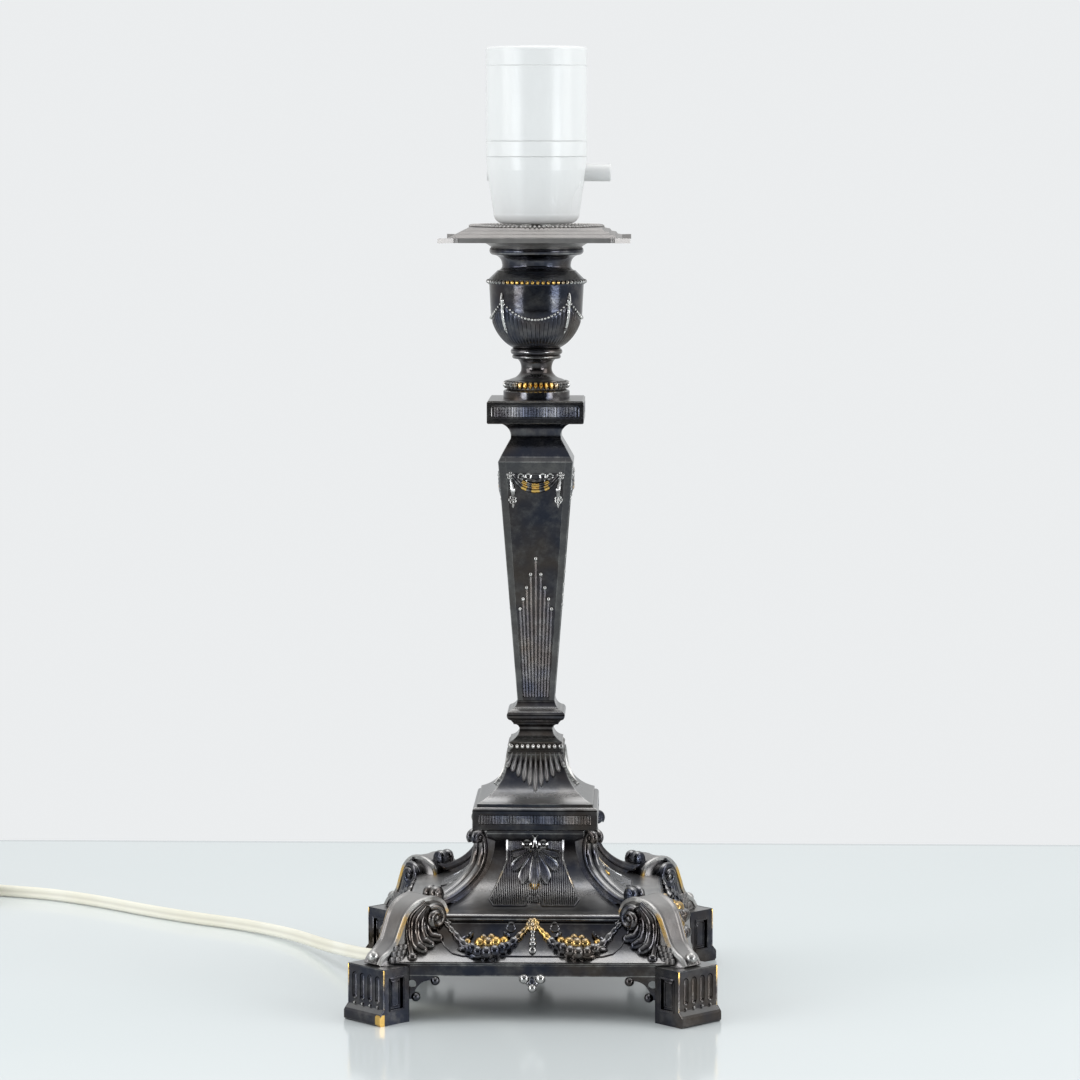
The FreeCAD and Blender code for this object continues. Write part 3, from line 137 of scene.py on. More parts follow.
def surface(points, wear=0.3, brass=0.0, round_rows=False, round_columns=False):
    """Skin over a grid of points; a round direction runs back into its own start."""
    shape = points.shape[:2]
    index = np.arange(shape[0] * shape[1]).reshape(shape)
    if round_rows:
        index = np.vstack([index, index[:1]])
    if round_columns:
        index = np.hstack([index, index[:, :1]])
    return Skin(points.reshape(-1, 3), quads(index), spread(wear, shape), spread(brass, shape))


def slab(front, back, wear=0.3, brass=0.0):
    """Closed patch: the front grid, the back grid under it and a rim of faces between their borders."""
    shape = front.shape[:2]
    count = shape[0] * shape[1]
    index = np.arange(count).reshape(shape)
    edge = np.concatenate([index[0, :-1], index[:-1, -1], index[-1, :0:-1], index[:0:-1, 0]])
    after = np.roll(edge, -1)
    rim = np.stack([edge, after, after + count, edge + count], -1)
    faces = np.vstack([quads(index), quads(index)[:, ::-1] + count, rim])
    points = np.vstack([front.reshape(-1, 3), np.broadcast_to(back, front.shape).reshape(-1, 3)])
    return Skin(points, faces, np.tile(spread(wear, shape), 2), np.tile(spread(brass, shape), 2))


def unit(vectors):
    """The vectors at length 1."""
    return vectors / np.maximum(np.linalg.norm(vectors, axis=-1, keepdims=True), 1e-9)


def tube(rings, middle, wear=0.0, brass=0.0):
    """Skin over rings round a line of middle points, each end drawn together to the line's own end."""
    def padded(value):
        return np.pad(np.broadcast_to(value, rings.shape[:2]), ((1, 1), (0, 0)), mode="edge")

    ends = [np.broadcast_to(middle[k], rings[:1].shape) for k in (0, -1)]
    return surface(np.concatenate([ends[0], rings, ends[1]]), padded(wear), padded(brass), False, True)


def rod(path, radius, wear=0.5, brass=0.0, side=FRONT, sides=8, loop=False):
    """Rod along a path: rings of radius * (cos a, sin a) square to it, closed at its ends or on itself."""
    path = np.asarray(path, float)
    if loop:
        way = unit(np.roll(path, -1, axis=0) - np.roll(path, 1, axis=0))
    else:
        way = unit(np.gradient(path, axis=0))
    side = np.broadcast_to(np.asarray(side, float), path.shape)
    out = unit(side - way * np.sum(way * side, axis=1, keepdims=True))
    across = np.cross(way, out)
    turn = np.linspace(0, 2 * np.pi, sides, endpoint=False)
    radius = np.broadcast_to(radius, len(path))[:, None, None]
    ring = np.cos(turn)[None, :, None] * out[:, None] + np.sin(turn)[None, :, None] * across[:, None]
    rings = path[:, None] + radius * ring
    wear, brass = (np.broadcast_to(value, len(path))[:, None] for value in (wear, brass))
    return surface(rings, wear, brass, True, True) if loop else tube(rings, path, wear, brass)


def balls(centres, size, wear=0.6, brass=0.0, ways=None, around=10, rings=6):
    """Beads: a unit sphere of latitudes and longitudes, stretched by size along x, y, z or its own ways."""
    centres = np.atleast_2d(np.asarray(centres, float))
    count = len(centres)
    lift = np.linspace(-np.pi / 2, np.pi / 2, rings + 1)[:, None]
    turn = np.linspace(0, 2 * np.pi, around, endpoint=False)[None, :]
    ball = np.stack([np.cos(lift) * np.cos(turn), np.cos(lift) * np.sin(turn), np.sin(lift) + 0 * turn], -1)
    local = ball.reshape(1, -1, 3) * np.broadcast_to(np.asarray(size, float), (count, 3))[:, None]
    if ways is not None:
        local = local @ np.broadcast_to(ways, (count, 3, 3))
    index = np.arange((rings + 1) * around).reshape(rings + 1, around)
    faces = quads(np.hstack([index, index[:, :1]]))
    step = (rings + 1) * around
    faces = (faces[None] + (np.arange(count) * step)[:, None, None]).reshape(-1, 4)
    wear = np.repeat(np.broadcast_to(wear, count), step)
    brass = np.repeat(np.broadcast_to(brass, count), step)
    return Skin((centres[:, None] + local).reshape(-1, 3), faces, wear, brass)


def lathe(profile, steps=128, wear=0.3, brass=0.0, swell=None):
    """A profile of (radius, height) points turned about Z; swell(angle, height) adds to its radius."""
    profile = np.asarray(profile, float)
    turn = np.linspace(0, 2 * np.pi, steps, endpoint=False)[None, :]
    radius = profile[:, :1] + (swell(turn, profile[:, 1:]) if swell else 0 * turn)
    points = np.stack([radius * np.cos(turn), radius * np.sin(turn), profile[:, 1:] + 0 * turn], -1)
    return surface(points, wear, brass, round_columns=True)


def square_turned(profile, wear=0.3, brass=0.0):
    """A profile of (half width, height) points carried round a square with mitred corners."""
    profile = np.asarray(profile, float)
    corner = np.array([(1, -1), (1, 1), (-1, 1), (-1, -1)])[None]
    points = np.concatenate([profile[:, None, :1] * corner, np.repeat(profile[:, None, 1:], 4, 1)], -1)
    return surface(points, wear, brass, round_columns=True)


def curve(points, steps):
    """Catmull-Rom curve through the points: the cubic of each span, sampled evenly."""
    points = np.asarray(points, float)
    points = np.vstack([2 * points[0] - points[1], points, 2 * points[-1] - points[-2]])
    at = np.linspace(0, len(points) - 3, steps)
    low = np.minimum(at.astype(int), len(points) - 4)
    share = (at - low)[:, None]
    a, b, c, d = (points[low + k] for k in range(4))
    return b + 0.5 * share * (c - a + share * (2 * a - 5 * b + 4 * c - d + share * (3 * b - a - 3 * c + d)))


def walk(points, step=1.0):
    """The same broken line with a point at least every step along it."""
    points = np.asarray(points, float)
    run = np.concatenate([[0], np.cumsum(np.linalg.norm(np.diff(points, axis=0), axis=1))])
    at = np.union1d(run, np.linspace(0, run[-1], int(run[-1] / step) + 2))
    return np.stack([np.interp(at, run, points[:, k]) for k in range(points.shape[1])], -1)


def circle(x, z, radius, steps=20, start=0.0, sweep=360.0):
    """Points of (x, z) round a centre; a spiral where the radius is given at every step."""
    turn = np.radians(start + np.linspace(0, sweep, steps, endpoint=sweep != 360.0))
    return np.stack([x + radius * np.cos(turn), z + radius * np.sin(turn)], -1)


def spun(skin, angle):
    """The skin turned about Z by an angle in degrees."""
    turn = math.radians(angle)
    matrix = np.array([[math.cos(turn), math.sin(turn), 0], [-math.sin(turn), math.cos(turn), 0], [0, 0, 1]])
    return skin._replace(points=skin.points @ matrix)


def both(skins):
    """The skins and their mirror images in x."""
    return list(skins) + [skin._replace(points=skin.points * (-1, 1, 1)) for skin in skins]


def four(skins):
    """The skins on each of the four faces."""
    return [spun(skin, angle) for angle in FACES for skin in skins]


PARTS = ("points", "wear", "brass")


def joined(skins):
    """All the skins as one."""
    starts = np.cumsum([0] + [len(skin.points) for skin in skins[:-1]])
    faces = np.vstack([skin.faces + start for skin, start in zip(skins, starts)])
    points, wear, brass = (np.concatenate([getattr(skin, part) for skin in skins]) for part in PARTS)
    return Skin(points, faces, wear, brass)


def make(name, skins, material, replaces=(), crease=38.0):
    """One piece from its skins: doubles merged, faces turned outwards, edges sharper than crease kept."""
    whole = joined(skins)
    mesh = bpy.data.meshes.new(name)
    mesh.from_pydata((whole.points * MM).tolist(), [], whole.faces.tolist())
    for part in PARTS[1:]:
        values = getattr(whole, part).astype(np.float32)
        mesh.attributes.new(part, "FLOAT", "POINT").data.foreach_set("value", values)
    work = bmesh.new()
    work.from_mesh(mesh)
    bmesh.ops.remove_doubles(work, verts=work.verts, dist=WELD)
    bmesh.ops.recalc_face_normals(work, faces=work.faces)
    work.to_mesh(mesh)
    work.free()
    mesh.shade_smooth()
    mesh.set_sharp_from_angle(angle=math.radians(crease))
    mesh.materials.append(material)
    piece = bpy.data.objects.new(name, mesh)
    bpy.context.scene.collection.objects.link(piece)
    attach(piece, "lamp")
    if replaces:
        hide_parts(*replaces)
    return piece


# ---- materials ----
class Value:
    """One number in a material; arithmetic on it adds Math nodes."""

    def __init__(self, owner, socket):
        self.owner = owner
        self.socket = socket

    def math(self, operation, first, second):
        return self.owner.node("ShaderNodeMath", {"operation": operation}, {0: first, 1: second})

    def __add__(self, other):
        return self.math("ADD", self, other)

    def __sub__(self, other):
        return self.math("SUBTRACT", self, other)

    def __rsub__(self, other):
        return self.math("SUBTRACT", other, self)

    def __mul__(self, other):
        return self.math("MULTIPLY", self, other)

    def __abs__(self):
        return self.math("ABSOLUTE", self, 0.0)

    def most(self, other):
        return self.math("MAXIMUM", self, other)

    def least(self, other):
        return self.math("MINIMUM", self, other)

    def rise(self, low, high):
        """Smooth step from 0 at low to 1 at high."""
        inputs = {"Value": self, "From Min": low, "From Max": high}
        return self.owner.node("ShaderNodeMapRange", {"interpolation_type": "SMOOTHSTEP"}, inputs)

    def near(self, middle, width):
        """1 at the middle, falling to 0 a width away."""
        return 1 - abs(self - middle).rise(0.0, width)

    __radd__ = __add__
    __rmul__ = __mul__


class NodeTree:
    """A node tree being made: one method adds any node, the others are short forms of it."""

    def __init__(self, tree):
        self.tree = tree

    def node(self, kind, settings=None, inputs=None, output=0):
        """Add a node: first its settings, then the values or links of its sockets."""
        node = self.tree.nodes.new(kind)
        for key, value in (settings or {}).items():
            setattr(node, key, value)
        for key, value in (inputs or {}).items():
            self.feed(node.inputs[key], value)
        return Value(self, node.outputs[output])

    def feed(self, socket, value):
        if isinstance(value, Value):
            self.tree.links.new(value.socket, socket)
        elif isinstance(value, tuple) and len(value) == 3 and socket.type == "RGBA":
            socket.default_value = (*value, 1.0)
        else:
            socket.default_value = value

    def axes(self, vector):
        node = self.tree.nodes.new("ShaderNodeSeparateXYZ")
        self.feed(node.inputs[0], vector)
        return [Value(self, output) for output in node.outputs]

    def mix(self, share, first, second):
        inputs = {0: share, 6: first, 7: second}
        return self.node("ShaderNodeMix", {"data_type": "RGBA", "clamp_factor": True}, inputs, output=2)


class Finish(NodeTree):
    """A material being made round its Principled shader."""

    def __init__(self, name, metallic=0.0):
        self.material = bpy.data.materials.new(name)
        self.material.use_nodes = True
        super().__init__(self.material.node_tree)
        self.shader = next(node for node in self.tree.nodes if node.type == "BSDF_PRINCIPLED")
        self.place = self.node("ShaderNodeTexCoord", output="Object")
        self.feed(self.shader.inputs["Metallic"], metallic)

    def attribute(self, name):
        return self.node("ShaderNodeAttribute", {"attribute_name": name}, output="Fac")

    def noise(self, scale, detail=3.0, roughness=0.55):
        inputs = {"Vector": self.place, "Scale": scale, "Detail": detail, "Roughness": roughness}
        return self.node("ShaderNodeTexNoise", {}, inputs)

    def bump(self, height, distance, strength=1.0, normal=None):
        inputs = {"Height": height, "Distance": distance, "Strength": strength}
        if normal:
            inputs["Normal"] = normal
        return self.node("ShaderNodeBump", {}, inputs, output="Normal")

    def done(self, **inputs):
        for key, value in inputs.items():
            self.feed(self.shader.inputs[key.replace("_", " ")], value)
        return self.material


BLUE_TARNISH = (0.034, 0.038, 0.053)
BROWN_TARNISH = (0.070, 0.058, 0.050)
GREY_TARNISH = (0.150, 0.146, 0.144)
RUBBED_SILVER = (0.60, 0.59, 0.57)
# paler grey for faces that look up: partly dust, partly painted light from above
TOP_LIT_DUSTY_SILVER = (0.42, 0.415, 0.41)
PALE_SILVER = (0.39, 0.372, 0.36)
BARE_BRASS = (0.64, 0.41, 0.12)
CLOUD_SCALE = 34.0         # noise cells in a metre
BLOTCH_SCALE = 170.0
GRAIN_SCALE = 950.0


def silver_plate(name, lines=(), mitre=False, top_dust_and_light=0.8, pale=0.0, satin=0.0, recess=None, bare=None):
    """Plate gone charcoal with blue and brown bloom, rubbed light on edges and brassy where worn through;
    faces that look up turn paler grey, partly dust and partly painted light from above.

    The rubbing follows the wear attribute, the heights in lines and, on square pieces, the mitres |x| = |y|.
    A recess (low, high, half width at low, slope) stays darker than the border round it. Round the upright
    line bare (x, y, reach, height) the plate is gone. All of these are in mm.
    """
    finish = Finish(name, 1.0)
    x, y, z = finish.axes(finish.place)
    cloud = finish.noise(CLOUD_SCALE)
    blotch = finish.noise(BLOTCH_SCALE, 5.0, 0.65)
    grain = finish.noise(GRAIN_SCALE, 2.0)
    rub = finish.attribute("wear")
    for line in lines:
        rub = rub.most(z.near(line * MM, 0.7 * MM) * 0.62)
    if mitre:
        rub = rub.most((abs(x) - abs(y)).near(0.0, 0.9 * MM) * 0.66)
    border = 0.0
    if recess:
        low, high, half, slope = recess
        edge = abs(x).least(abs(y)) - (half * MM + slope * (z - low * MM))
        above = z.rise((high - 0.1) * MM, (high + 0.1) * MM)
        border = edge.rise(-0.05 * MM, 0.15 * MM).most(above) * 0.5
        rub = rub.most(edge.near(0.0, 0.35 * MM) * 0.55)
    rub = (rub * (0.40 + 1.05 * blotch)).rise(0.34, 0.95)
    # painted light: faces that look up are mixed toward a paler grey, partly dust and partly the light from
    # above
    up = finish.axes(finish.node("ShaderNodeNewGeometry", output="Normal"))[2]
    dust_and_top_light = up.rise(0.45, 1.0) * top_dust_and_light * (0.5 + 0.8 * cloud)
    colour = finish.mix(cloud.rise(0.38, 0.66), BLUE_TARNISH, BROWN_TARNISH)
    colour = finish.mix(blotch.rise(0.42, 0.78) * 0.6 + border, colour, GREY_TARNISH)
    colour = finish.mix(dust_and_top_light, colour, TOP_LIT_DUSTY_SILVER)
    if pale:
        colour = finish.mix(pale * (0.7 + 0.5 * blotch), colour, PALE_SILVER)
    colour = finish.mix(rub * 0.9, colour, RUBBED_SILVER)
    brassy = (finish.attribute("brass") * (0.35 + 1.2 * blotch)).rise(0.42, 0.72)
    if bare:
        at_x, at_y, reach, height = (value * MM for value in bare)
        away = abs(x - at_x).most(abs(y - at_y))
        brassy = brassy.most((1 - away.rise(reach * 0.9, reach)) * (1 - z.rise(height * 0.94, height)))
    colour = finish.mix(brassy, colour, BARE_BRASS)
    rough = 0.09 + satin + 0.14 * blotch + 0.22 * dust_and_top_light
    relief = finish.bump(blotch, 0.00016, 0.45)
    relief = finish.bump(grain, 0.00004, 0.4, relief)
    return finish.done(Base_Color=colour, Roughness=rough, Normal=relief)


def plastic(name, colour, shade, roughness, grain_scale=1400.0, grain=0.00002, specular=0.5):
    """Moulded plastic: a slow drift between two near colours, a fine moulded grain, and painted shade,
    darker where the mesh's per-point value is set (the groove between the cord's cores).
    """
    finish = Finish(name)
    drift = finish.noise(28.0, 2.0)
    fine = finish.noise(grain_scale, 2.0)
    tint = finish.mix(drift.rise(0.35, 0.7), colour, shade)
    # painted shade: darker where the per-point value is set, as in the groove between the cord's cores
    tint = finish.mix(finish.attribute("wear") * 0.8, tint, tuple(0.45 * part for part in shade))
    rough = roughness - 0.05 + 0.1 * drift
    relief = finish.bump(fine, grain, 0.6)
    return finish.done(Base_Color=tint, Roughness=rough, Normal=relief, Specular_IOR_Level=specular)


def bright_metal(name, colour, stain, roughness):
    """Plated or bare metal of the fittings, with faint drawn marks and stains."""
    finish = Finish(name, 1.0)
    stains = finish.noise(140.0, 4.0)
    relief = finish.bump(finish.noise(900.0, 2.0), 0.00003, 0.5)
    tint = finish.mix(stains.rise(0.45, 0.75), colour, stain)
    return finish.done(Base_Color=tint, Roughness=roughness + 0.12 * stains, Normal=relief)


# the dust amount also sets painted light from above: how much faces that look up are paled
plate = silver_plate("silver_plate_carved")
satin_plate = silver_plate("silver_plate_satin", top_dust_and_light=0.9, pale=0.42, satin=0.14)
bare_plate = silver_plate("silver_plate_bare", bare=(-59.0, -74.0, 2.0, 4.6))
pan_plate = silver_plate("silver_plate_pan", top_dust_and_light=0.3, pale=0.85, satin=0.26)
white = plastic("white_plastic", (0.79, 0.795, 0.79), (0.76, 0.765, 0.76), 0.26)
grey = plastic("grey_plastic", (0.74, 0.74, 0.735), (0.68, 0.68, 0.675), 0.34)
ivory = plastic("ivory_plastic", (0.80, 0.76, 0.66), (0.74, 0.70, 0.60), 0.42)
sheath = plastic("cord_sheath", (0.86, 0.84, 0.74), (0.80, 0.77, 0.65), 0.42, 900.0, 0.00003, 0.4)
core = plastic("core_sheath", (0.42, 0.22, 0.10), (0.34, 0.17, 0.08), 0.45)
plug_white = plastic("plug_plastic", (0.82, 0.81, 0.77), (0.77, 0.76, 0.71), 0.40, 1800.0, 0.00004)
porcelain = plastic("insulator", (0.80, 0.79, 0.75), (0.72, 0.71, 0.66), 0.55, 700.0, 0.00004)
zinc = bright_metal("plated_steel", (0.55, 0.55, 0.53), (0.34, 0.33, 0.30), 0.34)
contact = bright_metal("contact_brass", (0.66, 0.48, 0.22), (0.45, 0.30, 0.13), 0.30)
rolled = bright_metal("socket_metal", (0.68, 0.68, 0.67), (0.46, 0.45, 0.43), 0.28)
nickel = bright_metal("pin_metal", (0.72, 0.71, 0.69), (0.58, 0.57, 0.55), 0.20)


def wear_finish(node, material):
    """Give a CAD node this material alone."""
    nodes[node].data.materials.clear()
    nodes[node].data.materials.append(material)


# node: heights in mm of its worn horizontal edges, whether its corners are mitred, how pale its faces are
WORN_EDGES = {
    "base_shell": ((z_band + 0.2, foot_top, z_ridge - 0.4, z_frieze, z_frieze + 1.7, z_torus + 0.1, z_cove),
                   True, 0.0),
    "pedestal_block": ((z_skirt + 0.3, z_block - 0.8), True, 0.0),
    "pedestal_roof": ((z_block + 1.2, z_roof - 1.2), True, 0.0),
    "stem_neck": ((z_collar + 0.4, z_collar + 6.6), True, 0.0),
    "shaft_foot": (tuple(z_shaft_foot - down for down in (8.0, 5.2, 3.7, 0.4)), True, 0.0),
    "shaft": ((z_shaft - 1.6,), True, 0.0),
    "capital": ((z_shaft + 0.3, z_capital - 0.5), True, 0.0),
    "capital_block": ((z_capital + 0.3, z_cap_block - 0.3), True, 0.28),
    "urn_knop": ((z_urn_foot + 0.8, z_urn_foot + 2.9), False, 0.0),
    "urn_collar": ((z_urn + 12.4, z_urn + 14.6), False, 0.0),
}
RECESS = {"shaft": (z_shaft_foot + 1.2, z_shaft - 6.0, 5.44, 0.0673)}
for node, (lines, mitre, pale) in WORN_EDGES.items():
    wear_finish(node, silver_plate("silver_plate_" + node, lines, mitre, pale=pale, recess=RECESS.get(node)))

PLAIN_FINISH = {
    pan_plate: ("drip_pan",),
    plate: ("corner_brackets", "foot_rear_right", "foot_rear_left", "foot_front_right"),
    bare_plate: ("foot_front_left",),
    white: ("holder_lower_shell", "holder_ring", "holder_jacket"),
    grey: ("switch_rod",),
    ivory: ("tube_bush",),
    sheath: ("cord_in_tube",),
    core: ("lead_cores",),
    porcelain: ("insulating_insert",),
    zinc: ("threaded_tube", "clamp_plate", "bottom_nut", "pan_lock_nut", "grub_screw"),
    contact: ("terminal_screws", "switch_contact", "centre_contact", "side_contact"),
    rolled: ("thread_shell",),
    nickel: ("plug_pins",),
}
for finish, wearers in PLAIN_FINISH.items():
    for node in wearers:
        wear_finish(node, finish)


# ---- surfaces that the ornaments lie on: (x, z, out) of the front face to a point ----
def front_point(x, half, z):
    x, half, z = np.broadcast_arrays(x, half, z)
    return np.stack([x, -half, z], -1)


def frieze_half(z):
    """Half width of the frieze: its chord less a shallow parabola."""
    share = np.clip((z - z_ridge) / (z_frieze - z_ridge), 0, 1)
    chord = frieze_foot_half + share * (frieze_top_half - frieze_foot_half)
    return chord - 4 * frieze_hollow * share * (1 - share)


def on_frieze(x, z, out=0.0):
    return front_point(x, frieze_half(z) + 0.81 * out, z + 0.59 * out)


def on_cove(x, z, out=0.0):
    """Hollow skirt: half = far - sqrt(r^2 - rise^2), moved out along the arc's own normal."""
    rise = np.clip(z_cove - z, 0, cove_radius)
    run = np.sqrt(cove_radius ** 2 - rise ** 2)
    return front_point(x, cove_far - run + out * run / cove_radius, z + out * rise / cove_radius)


def hollow_half(z, low, middle, high):
    """Half width on the circle through three (half, z) points, on its side nearer the axis."""
    points = np.array([low, middle, high], float)
    matrix = np.hstack([2 * points, np.ones((3, 1))])
    cx, cz, rest = np.linalg.solve(matrix, np.sum(points ** 2, axis=1))
    radius = math.sqrt(rest + cx * cx + cz * cz)
    return cx - np.sqrt(np.maximum(radius ** 2 - (z - cz) ** 2, 0))


def on_roof(x, z, out=0.0):
    z = np.clip(z, roof_low[1], z_roof)
    return front_point(x, hollow_half(z, roof_low, roof_middle, roof_high) + 0.85 * out, z + 0.4 * out)


def on_panel(x, z, out=0.0):
    """Recessed floor of a shaft panel."""
    return front_point(x, shaft_low_half + shaft_slope * (z - z_shaft_foot) - panel_depth + out, z)


def on_plane(half):
    """Surface function of an upright face this far from the axis."""
    return lambda x, z, out=0.0: front_point(x, half + out, z)


def on(place, points, out=0.0):
    """A line of (x, z) points laid on a surface."""
    points = np.asarray(points, float)
    return place(points[:, 0], points[:, 1], out)


def cast(place, line, out, radius, wear=0.5, brass=0.0, side=FRONT, sides=8, loop=False):
    """Rod along a line of (x, z) points that lies out from a surface."""
    return rod(on(place, line, out), radius, wear, brass, side, sides, loop)


def reeds(place, x, low, high, pitch, rise, base=0.1, rows=12, sunk=0.5):
    """Reeding: half-round ribs side by side, height = rise * sqrt(1 - (2 * share - 1)^2) across each."""
    share = np.mod(x / pitch + 0.5, 1.0)
    height = rise * np.sqrt(np.maximum(1 - (2 * share - 1) ** 2, 0))
    along = np.linspace(0, 1, rows)[:, None]
    z = low + along * (high - low) + 0 * x
    grid_x, grid_h = np.broadcast_to(x, z.shape), np.broadcast_to(height, z.shape)
    wear = 0.08 + 0.38 * grid_h / rise
    return slab(place(grid_x, z, base + grid_h), place(grid_x, z, -sunk), wear)


PETAL_SUNK = 0.6


def petal(place, root, tip, width, wear=0.72, brass=0.0, base=0.25, rim=0.8, steps=(18, 9)):
    """Hollow petal with a round tip: width * u^0.9 * sqrt(1 - u^7) across, rising to its rim as v^2."""
    u = np.sin(np.linspace(0, np.pi / 2, steps[0]))[:, None]
    v = np.linspace(-1, 1, steps[1])[None, :]
    root, tip = np.asarray(root, float), np.asarray(tip, float)
    way = (tip - root) / np.linalg.norm(tip - root)
    half = width * (0.12 + 0.9 * u ** 0.9) * np.sqrt(np.maximum(1.0004 - u ** 7, 0))
    x = root[0] + u * (tip - root)[0] - v * half * way[1]
    z = root[1] + u * (tip - root)[1] + v * half * way[0]
    out = (base + rim * v ** 2) * (0.35 + 0.65 * np.sin(np.pi * np.minimum(u * 1.6, 1) / 2))
    back = place(x, z, -PETAL_SUNK)
    return slab(place(x, z, out), back, wear * v ** 2 + 0 * u, brass * (u > 0.86) + 0 * v)


# ---- skirt: reeded panels and palmettes ----
def skirt_panel():
    x = np.linspace(-17.4, 17.4, 47 * 6 + 1)
    away = np.abs(x)
    high = np.interp(away, [0, 11.1, 11.25, 13.1, 17.4], [64.1, 64.1, 56.6, 52.0, 43.1])
    low = np.interp(away, [0, 15.7, 17.4], [41.2, 41.2, 43.0])
    low = low + 0.9 * np.sqrt(np.maximum(1 - (x / 3.1) ** 2, 0))
    field = reeds(on_cove, x, low, high, 0.74, 0.34, 0.12, 22)
    border = walk([(11.2, 64.6), (11.2, 56.6), (13.1, 52.0), (15.3, 47.4), (17.7, 43.0), (15.9, 41.2),
                   (3.3, 41.2)])
    wear = np.interp(border[:, 1], [41, 44, 50, 64], [0.35, 0.6, 0.8, 0.5])
    brass = np.interp(border[:, 1], [44, 47, 52, 57], [0.0, 0.5, 0.55, 0.0])
    sides = both([cast(on_cove, border, 0.25, 0.5, wear, brass, COVE_OUT)])
    bump = circle(0, 41.2, 3.3, 14, 0, 180.0)
    return [field, cast(on_cove, bump, 0.25, 0.42, 0.45, 0, COVE_OUT)] + sides


PETALS = (((0.0, 46.2), 2.9, 0.8), ((5.2, 47.8), 2.9, 0.2), ((8.9, 52.8), 2.8, 0.0), ((9.4, 58.2), 2.4, 0.0))


def palmette():
    skins = []
    for (x, z), width, brass in PETALS:
        for side in ((1,) if x == 0 else (1, -1)):
            skins.append(petal(on_cove, (0.25 * side * x / 5, 61.3), (side * x, z), width, brass=brass))
    ring = circle(3.3, 62.9, 1.5)
    eye = [cast(on_cove, ring, 0.7, 0.62, 0.8, 0, COVE_OUT, loop=True),
           balls(on_cove(3.3, 62.9, 0.8), 0.75)]
    stalk = curve([(3.3, 61.4), (1.6, 60.4), (0.6, 61.8), (0.2, 64.8), (0.9, 66.6)], 14)
    return skins + both(eye + [cast(on_cove, stalk, 0.7, 0.5, 0.7, 0, COVE_OUT)])


# ---- corners: scrolls, knees, acanthus ----
def ribbon(path, width, rise, thick, wear, brass=0.0, rims=False):
    """Moulded strip along a path in the diagonal plane: ridges |sin(pi w)| or raised rims across it."""
    way = unit(np.gradient(path, axis=0))
    normal = np.stack([-way[:, 1], way[:, 0]], -1)
    across = np.linspace(-1, 1, 25)
    if rims:
        away = np.abs(across)
        rim = 3 * np.clip((away - 0.62) / 0.2, 0, 1) * np.sqrt(1.02 - across ** 2)
        top = thick * 0.5 + rise * np.where(away < 0.62, 0.25 * (1 - across ** 2), rim)
        lit = np.clip((away - 0.76) * 6, 0.15, 1)
    else:
        top = thick * 0.5 + rise * np.abs(np.sin(np.pi * across)) ** 0.6
        lit = np.abs(np.sin(np.pi * across)) ** 2
    w = np.concatenate([across, across[::-1]])
    h = np.concatenate([top, 0 * top - thick * 0.5 if rims else -top[::-1]])
    lit = np.concatenate([lit, lit])
    width = np.broadcast_to(width, len(path))[:, None] / 2
    rho = path[:, :1] + normal[:, :1] * h
    z = path[:, 1:] + normal[:, 1:] * h
    rows = np.stack([rho, width * w, z], -1)
    middle = np.stack([path[:, 0], 0 * path[:, 0], path[:, 1]], -1)
    wear, brass = (np.broadcast_to(value, len(path))[:, None] * lit for value in (wear, brass))
    return tube(rows, middle, wear, brass)


def rolled_knob(rho, z, radius, width, wear=0.8, brass=0.0):
    """Roll at the end of a scroll: a short drum with drawn-in middle and ball-like ends."""
    across = np.linspace(-1, 1, 21)
    swell = radius * (1 - 0.16 * np.cos(np.pi * across)) * np.sqrt(1.04 - np.abs(across) ** 5)
    path = np.stack([0 * across + rho, across * width / 2, 0 * across + z], -1)
    return rod(path, swell, wear, brass, (0, 0, 1), 18)


# lines in a corner's diagonal plane: (distance from the axis, height)
SCROLL_LINE = ((34.4, 65.2), (35.0, 66.4), (34.3, 67.6), (32.6, 67.9), (31.2, 66.3), (30.7, 63.0),
               (31.3, 58.5), (33.1, 54.5), (36.5, 51.0), (41.5, 47.6), (47.5, 44.8), (52.5, 43.4),
               (55.6, 43.7), (57.6, 45.3), (57.3, 47.6), (55.6, 48.0), (54.9, 46.9))
KNEE_LINE = ((54.6, 40.0), (56.6, 43.6), (60.3, 45.6), (64.3, 46.3), (70.2, 45.0), (74.6, 41.4),
             (77.3, 36.2), (79.9, 30.6), (83.4, 27.2), (86.4, 25.4), (88.4, 22.6))
KNEE_BACK = ((54.0, 37.0), (56.0, 36.6), (58.0, 36.4), (61.0, 36.0), (64.0, 34.5), (67.0, 31.5),
             (70.0, 28.0), (73.0, 25.0), (78.0, 22.6), (84.0, 22.0))
console_half = 10.0
volute_rho = 64.8
volute_z = 39.4
volute_radius = 4.5


def corner_scroll():
    path = curve(SCROLL_LINE, 80)
    brass = np.interp(path[:, 1], [44, 50, 54, 60, 69], [0.1, 0.35, 0.1, 0.1, 0.35])
    width = np.interp(path[:, 1], [44, 60, 66], [7.4, 7.0, 5.6])
    inner = path[20:62]
    hip = math.sqrt(2) * (cove_far - np.sqrt(cove_radius ** 2 - (z_cove - inner[:, 1]) ** 2)) - 1.5
    share = np.linspace(0, 1, 5)[:, None]
    rho = inner[None, :, 0] * (1 - share) + np.minimum(hip, inner[:, 0])[None] * share
    side = np.stack([rho, 0 * rho - 2.7 - 0.8 * share, 0 * rho + inner[None, :, 1] - 2.0 * share], -1)
    return [ribbon(path, width, 0.95, 1.7, 0.55, brass), slab(side, side * (1, -1, 1), 0.1),
            rolled_knob(33.2, 66.1, 2.0, 5.8, 0.45, 0.2), rolled_knob(56.0, 46.3, 2.8, 8.0, 0.4, 0.1)]


